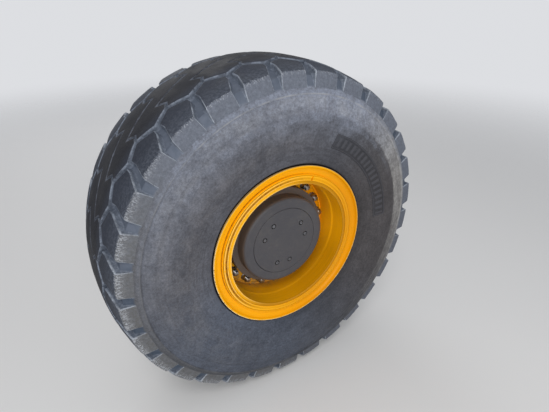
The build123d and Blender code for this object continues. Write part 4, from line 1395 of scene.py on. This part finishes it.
@dataclass
class Tyre:
    """Earthmover tyre: casing, two rows of slanted lugs and a row of interlocking middle blocks.

    The crown, side and inner lines are radius and across, in mm. The floor's depth is a reach from
    the crown's middle and a depth. A ring is a radius, a height and a width. A block's loops are
    an inset, a drop under the surface, a share of the groove's depth and a mark for the finish.
    """

    lugs: int = 30
    phase: float = -1.0
    mm_per_degree: float = 13.4
    crown: tuple = (
        (784.0, 0), (783.3, 60), (779.6, 110), (774.6, 141), (764.5, 200), (755.8, 240), (750.5, 258),
        (690, 271), (676, 273.5),
    )
    floor_depth: tuple = (
        (0, 11), (95, 12), (116, 17), (132, 23), (205, 25), (262, 24), (300, 9), (322, 0), (345, 0),
    )
    floor_end: float = 314.0
    side: tuple = (
        (689.5, 271.5), (686.0, 275.4), (682.0, 278.9), (677.5, 281.4), (673.0, 282.2), (669.6, 281.8),
        (667.4, 280.7), (665.2, 280.9), (662.0, 282.2), (650.0, 285.6), (636.0, 289.8), (626.0, 292.8),
        (621.5, 293.2), (617.0, 293.2), (612.0, 295.2), (600.5, 297.9), (583.0, 299.6), (565.5, 300.0),
        (545.0, 299.4), (525.0, 297.6), (500.0, 294.0), (474.0, 289.6), (450.0, 285.2), (430.0, 281.8),
        (412.0, 278.4), (399.0, 275.2), (391.0, 272.2), (386.6, 268.4), (384.6, 263.4), (379.0, 256.4),
        (371.0, 251.2), (361.7, 248.2),
    )
    side_points: int = 196
    inner: tuple = (
        (317.9, 247.6), (312.0, 173.0), (324.0, 173.0), (352.0, 196.0), (420.0, 232.0), (520.0, 254.0),
        (600.0, 252.0), (680.0, 226.0), (705.0, 190.0),
    )
    rings: tuple = (
        (583.0, 0.7, 1.6), (541.0, 0.5, 1.6), (462.0, 0.8, 1.8), (433.0, 0.8, 1.8), (412.0, 0.7, 1.6),
    )
    segments: int = 216
    smoothing: int = 7
    block_loops: tuple = (
        (7.0, 0.0, 0.0, 7.0),
        (2.6, 0.35, 0.0, 2.6),
        (0.9, 1.1, 0.0, 0.9),
        (0.0, 2.6, 0.0, 0.0),
        (-0.8, 0.0, 0.5, -3.0),
        (-2.2, 0.0, 0.82, -6.0),
        (-5.5, 0.0, 0.98, -9.0),
        (-8.0, 3.0, 1.0, -12.0),
    )
    inside_mark: float = 15.0
    seed: int = 7
    reach: np.ndarray = field(init=False)
    surface: np.ndarray = field(init=False)
    outward: np.ndarray = field(init=False)
    depth: np.ndarray = field(init=False)

    def __post_init__(self) -> None:
        """Works out the tread's section at every millimetre from the crown to the lugs' feet.

        The surface is the crown's line with its corners rounded by a running mean.
        """
        corner = np.array(self.crown)
        length = path_length(corner)
        self.reach = np.arange(0.0, length[-1], 1.0)
        rough = np.stack([np.interp(self.reach, length, column) for column in corner.T], axis=1)
        width = self.smoothing
        before, after = 2 * rough[0] - rough[width:0:-1], 2 * rough[-1] - rough[-2 : -width - 2 : -1]
        padded = np.concatenate([before, rough, after])
        kernel = np.ones(2 * width + 1) / (2 * width + 1)
        self.surface = np.stack([np.convolve(column, kernel, "valid") for column in padded.T], axis=1)
        slope = np.gradient(self.surface, axis=0)
        normal = np.stack([slope[:, 1], -slope[:, 0]], axis=1)
        self.outward = normal / np.linalg.norm(normal, axis=1)[:, None]
        self.depth = np.interp(self.reach, *np.array(self.floor_depth, dtype=float).T)

    def section_at(
        self, reach: np.ndarray, drop: np.ndarray, share: np.ndarray
    ) -> tuple[np.ndarray, np.ndarray]:
        """Radius and across of points under the tread's surface.

        Point = surface(reach) - outward(reach) (drop + share depth(reach)).

        Args:
            reach: distance from the crown's middle along the section, mm, signed.
            drop: distance under the surface, mm.
            share: further distance as a share of the groove's depth.

        Returns:
            Radius and across.
        """
        size = np.abs(reach)
        under = drop + share * np.interp(size, self.reach, self.depth)
        radius, across = (
            np.interp(size, self.reach, surface) - under * np.interp(size, self.reach, outward)
            for surface, outward in zip(self.surface.T, self.outward.T)
        )
        return radius, across * np.sign(reach)

    def lug_plan(self) -> BlockPlan:
        """Plan of an outboard lug, a house shape with its peak towards the middle."""
        outline = np.array([
            (0.0, -334), (12.0, -334), (12.0, -264), (9.9, -184), (9.9, -149), (4.4, -110), (-2.1, -149),
            (-2.1, -184), (0.0, -264),
        ])
        gaps = np.array([
            (0, 0), (18, 25), (25, 17), (17, 14), (10.5, 7.5), (7.5, 10.5), (14, 17), (17, 25), (25, 18),
        ], dtype=float)
        steps = np.array([14, 10, 10, 5, 6, 8, 5, 10, 10])
        return BlockPlan(outline * (self.mm_per_degree, 1), gaps, steps, (1, 4, 6), bend_start=0.8)

    def middle_plan(self) -> BlockPlan:
        """Plan of a middle block, between two bent grooves, with a widened spot at their middle."""
        pitch = 360 / self.lugs
        chain = [(3.3, -78), (5.5, -41), (-0.4, -3.8), (-1.0, 0.0), (-1.6, 3.8), (-7.5, 41), (-5.3, 78)]
        back = [(angle - pitch, reach) for angle, reach in reversed(chain)]
        start, peak = [(-7.6, -110), (-2.1, -149), (4.4, -110)], [(-6.4, 110), (-11.9, 149), (-18.4, 110)]
        outline = np.array([*start, *chain, *peak, *back])
        near, far, narrow, wide = (7.5, 10.5), (10.5, 7.5), (2.3, 2.3), (2.3, 6.0)
        up = [(4.5, 4.5), (4.0, 4.0), narrow, wide, wide[::-1], narrow, (4.0, 4.0), (4.5, 4.5)]
        down = [gap[::-1] for gap in reversed(up)]
        gaps = np.array([near, far, *up, near, far, *down])
        rise = [3, 4, 8, 2, 2, 8, 4, 3]
        steps = np.array([7, 8, *rise, 8, 7, *rise[::-1]])
        return BlockPlan(outline * (self.mm_per_degree, 1), gaps, steps, (2, 10, 12), bend_start=0.0)

    def blocks(self, name: str, plan: BlockPlan, turned_over: bool, dress: Dress) -> None:
        """Raises one plan to a block with eased edges and sunk walls, and repeats it round the tyre.

        Args:
            name: the piece's name.
            plan: plan of the block.
            turned_over: True for the inboard row, which is the plan turned half round its middle.
            dress: how the blocks are shown.
        """
        table = np.array(self.block_loops)
        loops = plan.loops(table[:, 0])
        inner, number = plan.filled(loops[0])
        levels, count = loops.shape[:2]
        flat = np.concatenate([loops[0], inner, loops[1:].reshape(-1, 2)])
        top = count + len(inner)
        drop, share, edge = (
            np.concatenate([np.full(top, row[0]), np.repeat(row[1:], count)]) for row in table.T[1:]
        )
        edge[count:top] = self.inside_mark
        if turned_over:
            flat = np.array([2 * self.phase * self.mm_per_degree, 0]) - flat
        reach = flat[:, 1]
        radius, across = self.section_at(reach, drop, share)
        turn = np.arange(self.lugs)[:, None] * (360 / self.lugs) + flat[None, :, 0] / self.mm_per_degree
        points = ring_point(turn, radius[None], across[None])
        cap = np.stack([number[:-1, :-1], number[:-1, 1:], number[1:, 1:], number[1:, :-1]], axis=-1)
        order = np.concatenate([np.arange(count), top + np.arange((levels - 1) * count)])
        walls = order[grid_faces(levels, count, False, True)]
        foot = order[(levels - 1) * count + np.arange(count)][None]
        total = len(flat)
        faces = [repeated(part, total, self.lugs) for part in (cap.reshape(-1, 4), walls, foot)]
        wear = np.random.default_rng(self.seed).random(self.lugs)
        marks = {
            "edge": np.tile(edge, self.lugs),
            "reach": np.tile(np.abs(reach), self.lugs),
            "lug": np.repeat(wear, total),
        }
        dressed(name, closed_mesh(name, points, faces, marks), dress)

    def wall(self) -> np.ndarray:
        """Outer wall from the lugs' feet to the bead.

        A smooth line through its points, worked out by arc length, and each ring adds height
        exp(-((r - ring) / width)^2) across.

        Returns:
            Rows of radius and across.
        """
        control = np.array(self.side)
        length = path_length(control)
        fine = np.linspace(0, length[-1], self.side_points)
        line = np.stack([smooth_line(fine, length, column) for column in control.T], axis=1)
        ring, height, width = np.array(self.rings).T
        line[:, 1] += (height * np.exp(-(((line[:, :1] - ring) / width) ** 2))).sum(axis=1)
        return line

    def casing(self, dress: Dress) -> None:
        """Turns the casing: groove floor, sidewalls with fine rings, beads and hollow inside."""
        floor = np.stack(self.section_at(np.linspace(0, self.floor_end, 18), 0.0, 1.0), axis=1)
        half = np.concatenate([floor, self.wall(), np.array(self.inner)])
        outline = np.concatenate([half[::-1] * (1, -1), half[1:]])
        turned("tyre_casing", outline, replace(dress, smooth_below=50.0), self.segments)

    def build(self, effects: Effects) -> None:
        """Builds and dresses the tyre."""
        rubber = SidewallRubber()
        side = Dress(Body.WHEEL, Slot.TYRE, rubber.material(effects), ("tyre",))
        tread = Dress(Body.WHEEL, Slot.TYRE, TreadRubber().material(effects), ("tyre",), 38.0)
        self.casing(side)
        RibbedPanel(rubber).build(self.wall(), side)
        self.blocks("tyre_lugs_outboard", self.lug_plan(), False, tread)
        self.blocks("tyre_lugs_inboard", self.lug_plan(), True, tread)
        self.blocks("tyre_middle_blocks", self.middle_plan(), False, tread)


# Rim


@dataclass
class Rim:
    """Rim of five pieces with its disc, in eased outlines. Half is the bead seat's distance across."""

    lip: float = 275.95
    half: float = 247.65
    flange: float = 381.0
    roll: float = 28.3
    plate: float = 8.0
    seat: float = 317.5
    seat_taper: float = 3.2
    inboard_taper: float = 5.9
    gutter: float = 311.0
    groove: float = 300.5
    bore: float = 296.0
    base_bore: float = 293.0
    base: float = 305.0
    lock: float = 334.0
    shoulder: float = 338.5
    shoulder_width: float = 12.0
    band_width: float = 41.0
    face: float = 265.95
    gutter_width: float = 82.0
    groove_start: float = 12.0
    groove_width: float = 16.0
    notch: float = 320.9
    fit: float = 0.3
    disc_face: float = -91.0
    disc_back: float = -73.0
    pilot: float = 240.3
    split_angle: float = 72.0
    split: float = 9.0
    flange_steps: int = 256
    ring_steps: int = 224
    disc_steps: int = 192

    def flange_ring(self, side: int) -> np.ndarray:
        """Outline of a flange ring: plate, then a quarter roll outwards with an eased edge."""
        middle = (self.flange - self.roll, self.lip)
        low, high, edge = -90, -4, 2.4
        rows = [(self.seat + self.fit, self.half, 1.0), (self.seat + self.fit, self.half + self.plate, 1.0)]
        rows += quarter(middle, self.roll - self.plate, low, high)
        rows += [(self.flange - self.plate, self.lip, edge), (self.flange, self.lip, edge)]
        rows += quarter(middle, self.roll, high, low)
        return eased(rows, 3) * (1, side)

    def outlines(self) -> dict[str, list[tuple[float, float, float]]]:
        """Outlines of the bead band, lock ring and rim tube, counted outwards on the open side."""
        inner = self.half + self.plate + self.fit
        outer = inner + self.shoulder_width
        start, end = self.face - self.groove_start, self.face - self.gutter_width
        under, ring, notch = start - self.groove_width, self.gutter + self.fit, self.notch
        band = [
            (ring, self.half - self.band_width, 0.5),
            (self.seat - self.seat_taper, self.half - self.band_width, 0.5),
            (self.seat, self.half, 0.2),
            (self.seat, inner, 0.6),
            (self.shoulder, inner, 0.6),
            (self.shoulder, outer, 1.6),
            (self.lock + 1.0, outer, 1.2),
            (self.lock + 1.0, outer - 3.5, 0.5),
            (ring, inner - self.fit, 0.3),
        ]
        lock = [
            (self.groove + self.fit, under, 0.4),
            (self.groove + self.fit, start - self.fit, 0.4),
            (ring, start - self.fit, 0.4),
            (ring, outer - 0.6, 0.8),
            (notch - 1.7, outer - 0.2, 0.8),
            (notch - 0.7, outer - 1.7, 0.5),
            (notch + 0.7, outer - 1.7, 0.5),
            (notch + 1.7, outer - 0.2, 0.8),
            (self.lock - 0.6, outer, 2.0),
            (self.lock - 0.4, outer - 3.6, 0.6),
            (self.gutter, inner, 0.4),
            (self.gutter, under, 0.4),
        ]
        tube = [
            (self.gutter, end, 1.0),
            (self.gutter, under - 0.6, 0.4),
            (self.groove, under - 0.6, 0.3),
            (self.groove, start, 0.3),
            (self.gutter, start, 0.4),
            (self.gutter, self.face, 2.8),
            (self.bore, self.face, 2.8),
            (self.bore, end + 9.0, 3.0),
            (self.base_bore, end, 3.0),
            (self.base_bore, -outer, 2.0),
            (self.shoulder, -outer, 1.6),
            (self.shoulder, -inner, 0.8),
            (self.seat, -inner, 0.4),
            (self.seat, -self.half, 0.4),
            (self.seat - self.inboard_taper, 75.0 - self.half, 0.8),
            (self.base, 78.0 - self.half, 1.0),
            (self.base, end - 3.0, 1.0),
        ]
        return {"band": band, "lock": lock, "tube": tube}

    def build(self, material: bpy.types.Material) -> None:
        """Builds and dresses the rim's pieces."""
        dress = Dress(Body.WHEEL, Slot.RIM, material)
        outboard = dress.over("side_ring_outboard")
        turned("flange_ring_outboard", self.flange_ring(-1), outboard, self.flange_steps)
        turned("flange_ring_inboard", self.flange_ring(1), dress.over("side_ring_inboard"), self.flange_steps)
        outlines = {key: eased(rows) * (1, -1) for key, rows in self.outlines().items()}
        gap = np.degrees(self.split / self.lock) / 2
        span = (self.split_angle + gap, self.split_angle + 360 - gap)
        turned("bead_band", outlines["band"], dress.over("bead_seat_band"), self.ring_steps)
        turned("split_lock_ring", outlines["lock"], dress.over("lock_ring"), self.ring_steps, span)
        turned("rim_tube", outlines["tube"], dress.over("rim_base"), self.ring_steps)
        edge = self.base_bore - 0.1
        disc = [
            (self.pilot, self.disc_face, 1.4),
            (edge, self.disc_face, 0.3),
            (edge, self.disc_back, 0.3),
            (self.pilot, self.disc_back, 1.0),
        ]
        turned("dish_plate", eased(disc), dress.over("wheel_disc"), self.disc_steps)
        self.weld(dress)

    def weld(self, dress: Dress) -> None:
        """Bead of weld between disc and rim: a small round, radius = size (1 + ripples) along it."""
        name, size, steps, around = "dish_weld", 6.0, 720, 8
        ripples, waves = (115, 0.10), (9, 0.05)
        angle = np.linspace(0, 360, steps, endpoint=False)[:, None]
        about = np.radians(np.linspace(0, 360, around, endpoint=False))[None]
        turn = np.radians(angle)
        swell = 1 + ripples[1] * np.abs(np.sin(turn * ripples[0])) + waves[1] * np.sin(turn * waves[0])
        out = self.base_bore - 0.35 * size + size * swell * np.cos(about) * 0.8
        along = self.disc_face - 0.1 * size + size * swell * np.sin(about)
        points = ring_point(angle, out, along)
        dressed(name, closed_mesh(name, points, [grid_faces(steps, around, True, True)]), dress)


# Hub


@dataclass(frozen=True)
class Fasteners:
    """Nuts, studs or screw heads on a circle, with hexagons of one width.

    A row is a height above the foot, outwards, and a limit of the hexagon's radius. A row with a
    negative limit is round, at that radius.
    """

    name: str
    circle: float
    angles: np.ndarray
    rows: np.ndarray
    foot: float
    flats: float

    def build(self, dress: Dress) -> None:
        """Builds them: radius = the lesser of limit and flats / 2 / cos(((a + 30) mod 60) - 30)."""
        around, seed = 48, 3
        step = np.linspace(0, 360, around, endpoint=False)
        corner = self.flats / 2 / np.cos(np.radians((step + 30) % 60 - 30))
        limit = self.rows[:, 1:]
        radius = np.where(limit < 0, -limit, np.minimum(corner[None], np.abs(limit)))
        twist = np.random.default_rng(seed).random(len(self.angles)) * 60
        about = np.radians(step[None] + twist[:, None])[:, None, :]
        across = self.foot - self.rows[None, :, :1]
        points = on_circle(self.circle, self.angles, radius[None], about, across)
        faces = stack_faces(len(self.rows), around, len(self.angles))
        dressed(self.name, closed_mesh(self.name, points, faces), replace(dress, smooth_below=32.0))


@dataclass
class Hub:
    """Hub body, drum with its cover and screws, wheel studs and nuts."""

    drum: float = 211.0
    drum_face: float = -213.0
    drum_bore: float = 191.0
    drum_web: float = -181.0
    cover_bore: float = 153.5
    flange: float = 240.0
    flange_face: float = -153.0
    flange_back: float = -125.0
    cover: float = 161.5
    cover_gap: float = 1.7
    cover_face: float = -214.0
    cover_seat: float = -201.0
    screw_circle: float = 223.0
    screw_angles: tuple = (3.0, 38.8, 122.4, 160.7, 248.4, 284.3)
    screw_flats: float = 14.0
    countersink: tuple = ((12.2, -16.0), (12.2, 0.0), (10.4, 1.8), (10.4, 6.5))
    stud_circle: float = 524.0
    studs: int = 19
    stud_phase: float = 7.8
    flats: float = 32.0
    nut_seat: float = -91.0
    stud_foot: float = -38.0
    thread_pitch: float = 2.0
    thread_turns: int = 22
    thread_crest: float = 10.95
    thread_depth: float = 0.95
    thread_start: float = 71.5
    bolt_flange: float = 282.0
    bolt_face: float = -73.0
    bolt_back: float = -47.0
    barrel: float = 196.0
    barrel_back: float = 113.0
    seal_seat: float = 134.3
    seal_face: float = 95.0
    bearing_seat: float = 126.3
    bearing_face: float = 45.0
    bore: float = 110.3
    drum_steps: int = 224
    barrel_steps: int = 192

    def drum_outline(self) -> list[tuple[float, float, float]]:
        """Drum with its rounded front edge, open behind."""
        seat = self.cover + self.cover_gap
        return [
            (self.drum_bore, self.flange_back, 0.6),
            (self.flange, self.flange_back, 1.2),
            (self.flange, self.flange_face, 3.0),
            (self.drum, self.flange_face, 5.0),
            (self.drum, self.drum_face, 21.0),
            (seat, self.drum_face, 1.0),
            (seat, self.cover_seat, 0.4),
            (self.cover_bore, self.cover_seat, 0.4),
            (self.cover_bore, self.drum_web, 0.6),
            (self.drum_bore, self.drum_web, 0.6),
        ]

    def body_outline(self) -> list[tuple[float, float, float]]:
        """Hub body: flange behind the drum, bolt flange behind the disc, barrel with its seats."""
        return [
            (self.bore, self.flange_back, 1.0),
            (self.flange, self.flange_back, 0.8),
            (self.flange, self.bolt_face, 1.0),
            (self.bolt_flange, self.bolt_face, 1.5),
            (self.bolt_flange, self.bolt_back, 3.0),
            (self.barrel, self.bolt_back, 18.0),
            (self.barrel, self.barrel_back, 4.0),
            (self.seal_seat, self.barrel_back, 1.0),
            (self.seal_seat, self.seal_face, 1.0),
            (self.bearing_seat, self.seal_face, 0.5),
            (self.bearing_seat, self.bearing_face, 0.5),
            (self.bore, self.bearing_face, 0.5),
        ]

    def cover_piece(self, dress: Dress, shade: bpy.types.Material) -> None:
        """Round cover with a countersunk place for each screw, cut out with plain cutters.

        Args:
            dress: how the cover is shown.
            shade: painted shade of the countersinks.
        """
        pole, around, sharp = 2.0, 40, radians(30)
        rows = [
            (pole, self.cover_face - 0.001, 0.0),
            (self.cover, self.cover_face, 1.8),
            (self.cover, self.cover_seat, 0.6),
            (pole, self.cover_seat, 0.0),
        ]
        made = turned("drum_cover", eased(rows, 5), dress, self.drum_steps, capped=True)
        radius, back = np.array(self.countersink).T[:, None, :, None]
        about = np.radians(np.linspace(0, 360, around, endpoint=False))[None, None]
        places = np.array(self.screw_angles)
        points = on_circle(self.screw_circle, places, radius, about, self.cover_face + back)
        faces = stack_faces(len(self.countersink), around, len(self.screw_angles))
        cutter = bpy.data.objects.new("cutter", closed_mesh("cutter", points, faces))
        bpy.context.scene.collection.objects.link(cutter)
        cutter.data.materials.append(shade)
        cut = made.modifiers.new("screw_places", "BOOLEAN")
        cut.object = cutter
        cut.operation = "DIFFERENCE"
        cut.solver = "EXACT"
        cut.material_mode = "TRANSFER"
        graph = bpy.context.evaluated_depsgraph_get()
        made.data = bpy.data.meshes.new_from_object(made.evaluated_get(graph))
        made.modifiers.remove(cut)
        made.data.set_sharp_from_angle(angle=sharp)
        bpy.data.objects.remove(cutter)

    def nuts(self) -> Fasteners:
        """Wheel nuts with their washers, on the studs' circle."""
        rows = np.array([
            (0, -19.6), (0.8, -20.5), (3.2, -20.5), (5.0, -18.9), (5.4, 19.0), (26.4, 19.0), (27.6, 17.6),
            (28.5, 16.2), (29.0, 15.2), (29.0, -13.4), (27.4, -11.3), (22.0, -11.3), (21.9, -1.0),
        ])
        return Fasteners("nuts", self.stud_circle, self.stud_angles(), rows, self.nut_seat, self.flats)

    def threaded_studs(self) -> Fasteners:
        """Wheel studs: head behind the flange, shank, and a thread of crests and roots in turn."""
        count = self.thread_turns + 1
        height = self.thread_start + np.linspace(0, self.thread_pitch * self.thread_turns / 2, count)
        ridge = self.thread_crest - self.thread_depth * (np.arange(count) % 2)
        rows = np.concatenate([
            [(0, -16.0), (8.0, -16.0), (9.0, -15.0), (9.0, -11.0), (71.0, -11.0)],
            np.stack([height, -ridge], axis=1),
            [(93.0, -10.6), (94.0, -9.4), (94.0, -1.0)],
        ])
        rows[:, 0] = np.maximum.accumulate(rows[:, 0])
        return Fasteners("studs", self.stud_circle, self.stud_angles(), rows, self.stud_foot, self.flats)

    def screw_heads(self) -> Fasteners:
        """Heads of the cover's screws, round with a shallow hexagon, in their countersinks."""
        rows = np.array([
            (0.0, -8.0), (0.6, -8.0), (0.6, 30.0), (6.6, 30.0), (7.4, 7.0), (7.4, -3.6), (4.6, -3.4),
            (4.6, -0.4),
        ])
        foot = self.cover_face + self.countersink[-1][1]
        angles = np.array(self.screw_angles)
        return Fasteners("cover_screw_heads", self.screw_circle, angles, rows, foot, self.screw_flats)

    def stud_angles(self) -> np.ndarray:
        """Angles of the studs, degrees."""
        return self.stud_phase + np.arange(self.studs) * 360 / self.studs

    def build(self, effects: Effects) -> None:
        """Builds and dresses the hub."""
        paint = CastPaint(
            "hub_satin", (0.066, 0.065, 0.074, 1), dusting=0.22, roughness=0.46, relief=0.0003, skirt=0.2095
        )
        inner = CastPaint("hub_body_satin", (0.060, 0.060, 0.064, 1), dusting=0.6, roughness=0.5)
        # Painted shade: near-black paint for the walls of the countersinks.
        shade = CastPaint("countersink", (0.020, 0.020, 0.022, 1), dusting=0.1, roughness=0.7)
        screw = BareMetal("screw_steel", (0.25, 0.25, 0.27, 1), staining=0.35, roughness=0.26)
        bright = BareMetal("nut_steel", (0.26, 0.26, 0.27, 1), staining=0.55, roughness=0.20)
        thread = BareMetal("stud_steel", (0.32, 0.31, 0.30, 1), staining=0.45, roughness=0.24)
        hub = Dress(Body.WHEEL, Slot.HUB, paint.material(effects))
        turned("hub_drum", eased(self.drum_outline(), 10), hub.over("planet_housing"), self.drum_steps)
        self.cover_piece(hub.over("hub_cover"), shade.material(effects))
        self.screw_heads().build(Dress(Body.WHEEL, Slot.HUB, screw.material(effects), ("cover_screws",)))
        barrel = Dress(Body.WHEEL, Slot.HUB, inner.material(effects), ("hub_body",))
        turned("hub_barrel", eased(self.body_outline(), 8), barrel, self.barrel_steps)
        self.nuts().build(Dress(Body.WHEEL, Slot.FASTENER, bright.material(effects), ("wheel_nuts",)))
        steel = Dress(Body.WHEEL, Slot.FASTENER, thread.material(effects), ("wheel_studs",))
        self.threaded_studs().build(steel)


# Shapes kept from the frame


def smoothed_copy(name: str, source: bpy.types.Object, dress: Dress, bevel: float) -> None:
    """Copies a CAD node's mesh, merges its points and eases its edges.

    Args:
        name: the piece's name.
        source: the CAD node's object.
        dress: how the piece is shown.
        bevel: width of the eased edges, mm.
    """
    merge, flat, sharp = 0.00002, radians(0.5), radians(38)
    mesh = source.data.copy()
    mesh.name = name
    shell = bmesh.new()
    shell.from_mesh(mesh)
    bmesh.ops.remove_doubles(shell, verts=shell.verts, dist=merge)
    bmesh.ops.dissolve_limit(shell, angle_limit=flat, verts=shell.verts, edges=shell.edges)
    shell.to_mesh(mesh)
    shell.free()
    made = dressed(name, mesh, dress)
    if bevel:
        edge = made.modifiers.new("eased_edges", "BEVEL")
        edge.width = bevel * METRE
        edge.segments = 2
        edge.limit_method = "ANGLE"
        edge.angle_limit = sharp
        edge.harden_normals = False
        made.modifiers.new("flat_faces", "WEIGHTED_NORMAL").keep_sharp = True


@dataclass
class AxleEnd:
    """Fixed arm with spindle, brake housing, half shaft and small parts.

    A kept shape is a piece's name, the CAD node, its body, slot and finish, and its bevel in mm.
    """

    finishes: dict[str, CastPaint | BareMetal] = field(default_factory=lambda: {
        "arm": CastPaint("arm_satin", (0.050, 0.051, 0.055, 1), dusting=0.65, roughness=0.5, relief=0.0008),
        "seal": CastPaint("seal_rubber", (0.020, 0.020, 0.021, 1), dusting=0.2, roughness=0.6, relief=0.0001),
        "steel": BareMetal("ground_steel", (0.48, 0.48, 0.49, 1), staining=0.3),
        "oiled": BareMetal("oiled_steel", (0.34, 0.34, 0.35, 1), staining=0.45, roughness=0.26),
        "black": BareMetal("black_bolts", (0.11, 0.11, 0.115, 1), staining=0.45, roughness=0.34),
        "brass": BareMetal("dull_brass", (0.42, 0.31, 0.14, 1), staining=0.3, roughness=0.38),
    })
    kept: tuple = (
        ("arm_casting", "axle_arm", Body.ARM, Slot.ARM, "arm", 1.6),
        ("brake_ring", "brake_housing", Body.ARM, Slot.ARM, "arm", 1.2),
        ("spindle_tube", "spindle", Body.ARM, Slot.BEARING, "steel", 0.8),
        ("bell_bolts", "brake_bolts", Body.ARM, Slot.FASTENER, "black", 0.7),
        ("arm_breather", "breather", Body.ARM, Slot.VALVE, "brass", 0.5),
        ("splined_shaft", "half_shaft", Body.SHAFT, Slot.GEAR, "oiled", 0.4),
        ("rim_valve", "valve", Body.WHEEL, Slot.VALVE, "brass", 0.0),
        ("drum_cap_screws", "housing_screws", Body.WHEEL, Slot.FASTENER, "black", 0.5),
    )
    shown_as_is: tuple = (
        ("hub_seal", "seal"),
        ("inner_bearing", "steel"),
        ("outer_bearing", "steel"),
        ("planet_gears", "oiled"),
    )

    def build(self, frame: dict, effects: Effects) -> None:
        """Dresses the arm's pieces and the closed ones inside the hub."""
        materials = {key: finish.material(effects) for key, finish in self.finishes.items()}
        nodes = frame["nodes"]
        for name, node, body, slot, finish, bevel in self.kept:
            smoothed_copy(name, nodes[node], Dress(body, slot, materials[finish], (node,), 32.0), bevel)
        for node, finish in self.shown_as_is:
            for holder in nodes[node].material_slots:
                holder.material = materials[finish]


# Studio


@dataclass
class Studio:
    """Floor, lamps, world and the photograph's camera.

    Angles are in degrees and places in metres. A lamp is a name, a place, a size in metres, a
    power in watts and a colour.
    """

    floor_z: float = -0.7845
    floor_colour: tuple = (0.80, 0.80, 0.80, 1)
    floor_roughness: float = 0.9
    floor_shine: float = 0.1
    floor_sides: int = 96
    floor_margin: float = 1.2
    fade_start: float = 2.6
    fade_end: float = 9.0
    eye: tuple = (-0.886, -2.017, 1.001)
    heading: float = 32.1
    down: float = 27.3
    lens: float = 27.0
    sensor: float = 36.0
    sight: float = 200.0
    lamps: tuple = (
        ("key", (-2.2, -3.6, 4.6), 2.0, 85.0, (1.0, 0.985, 0.96)),
        ("front", (-1.5, -4.2, 1.5), 2.0, 68.0, (1.0, 0.99, 0.97)),
        ("fill", (3.8, -3.0, 2.2), 3.6, 12.0, (0.93, 0.96, 1.0)),
        ("back", (0.5, 4.2, 3.2), 3.4, 62.0, (1.0, 1.0, 1.0)),
    )
    lit_point: tuple = (0.0, -0.45, 0.0)
    sky: tuple = (0.95, 0.965, 1.0, 1)
    sky_strength: tuple = (0.40, 0.76)

    def build(self) -> None:
        """Sets the stage."""
        self.camera()
        self.light()
        self.world()
        self.floor()
        bpy.context.scene.view_settings.view_transform = "Standard"

    def camera(self) -> None:
        """Camera where the photograph was taken from, level, looking down at the wheel."""
        data = bpy.data.cameras.new("camera")
        data.lens = self.lens
        data.sensor_width = self.sensor
        data.clip_end = self.sight
        made = bpy.data.objects.new("camera", data)
        made.location = self.eye
        made.rotation_euler = (radians(90) - radians(self.down), 0.0, -radians(self.heading))
        bpy.context.scene.collection.objects.link(made)
        bpy.context.scene.camera = made

    def light(self) -> None:
        """Large soft lamps that look at the wheel."""
        for name, place, size, power, colour in self.lamps:
            data = bpy.data.lights.new(name, "AREA")
            data.shape = "DISK"
            data.size = size
            data.energy = power
            data.color = colour
            made = bpy.data.objects.new(name, data)
            made.location = place
            made.rotation_euler = (Vector(self.lit_point) - Vector(place)).to_track_quat("-Z", "Y").to_euler()
            bpy.context.scene.collection.objects.link(made)

    def world(self) -> None:
        """Even pale world, brighter where the camera, glass or gloss sees it."""
        world = bpy.data.worlds.new("studio")
        bpy.context.scene.world = world
        world.use_nodes = True
        board = Board(world.node_tree)
        shade = world.node_tree.nodes["Background"]
        path = board.add("ShaderNodeLightPath").outputs
        rays = [Value(board, path[f"Is {kind} Ray"]) for kind in ("Camera", "Transmission", "Glossy")]
        seen = rays[0].most(rays[1]).most(rays[2])
        shade.inputs["Color"].default_value = self.sky
        board.put(shade.inputs["Strength"], seen.between(*self.sky_strength))

    def floor(self) -> None:
        """Pale round floor that fades out into the backdrop."""
        ring = np.linspace(0, 2 * np.pi, self.floor_sides, endpoint=False)
        far = self.fade_end * self.floor_margin
        points = np.stack([far * np.cos(ring), far * np.sin(ring), self.floor_z + 0 * ring], axis=1)
        mesh = bpy.data.meshes.new("floor")
        mesh.from_pydata(points.tolist(), [], [list(range(len(ring)))])
        coat = Coat("pale_floor")
        inputs = coat.shader.inputs
        inputs["Base Color"].default_value = self.floor_colour
        inputs["Roughness"].default_value = self.floor_roughness
        inputs["Specular IOR Level"].default_value = self.floor_shine
        away = coat.vector("LENGTH", {0: coat.place}, "Value")
        coat.put(inputs["Alpha"], away.step(self.fade_end, self.fade_start))
        mesh.materials.append(coat.material)
        made = bpy.data.objects.new("floor", mesh)
        bpy.context.scene.collection.objects.link(made)


def main() -> None:
    """Builds the whole wheel over the frame and reports each piece."""
    logging.basicConfig(level=logging.INFO, format="%(message)s")
    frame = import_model()
    effects = Effects()
    Studio().build()
    Tyre().build(effects)
    Rim().build(RimEnamel().material(effects))
    Hub().build(effects)
    AxleEnd().build(frame, effects)


if __name__ == "__main__":
    main()
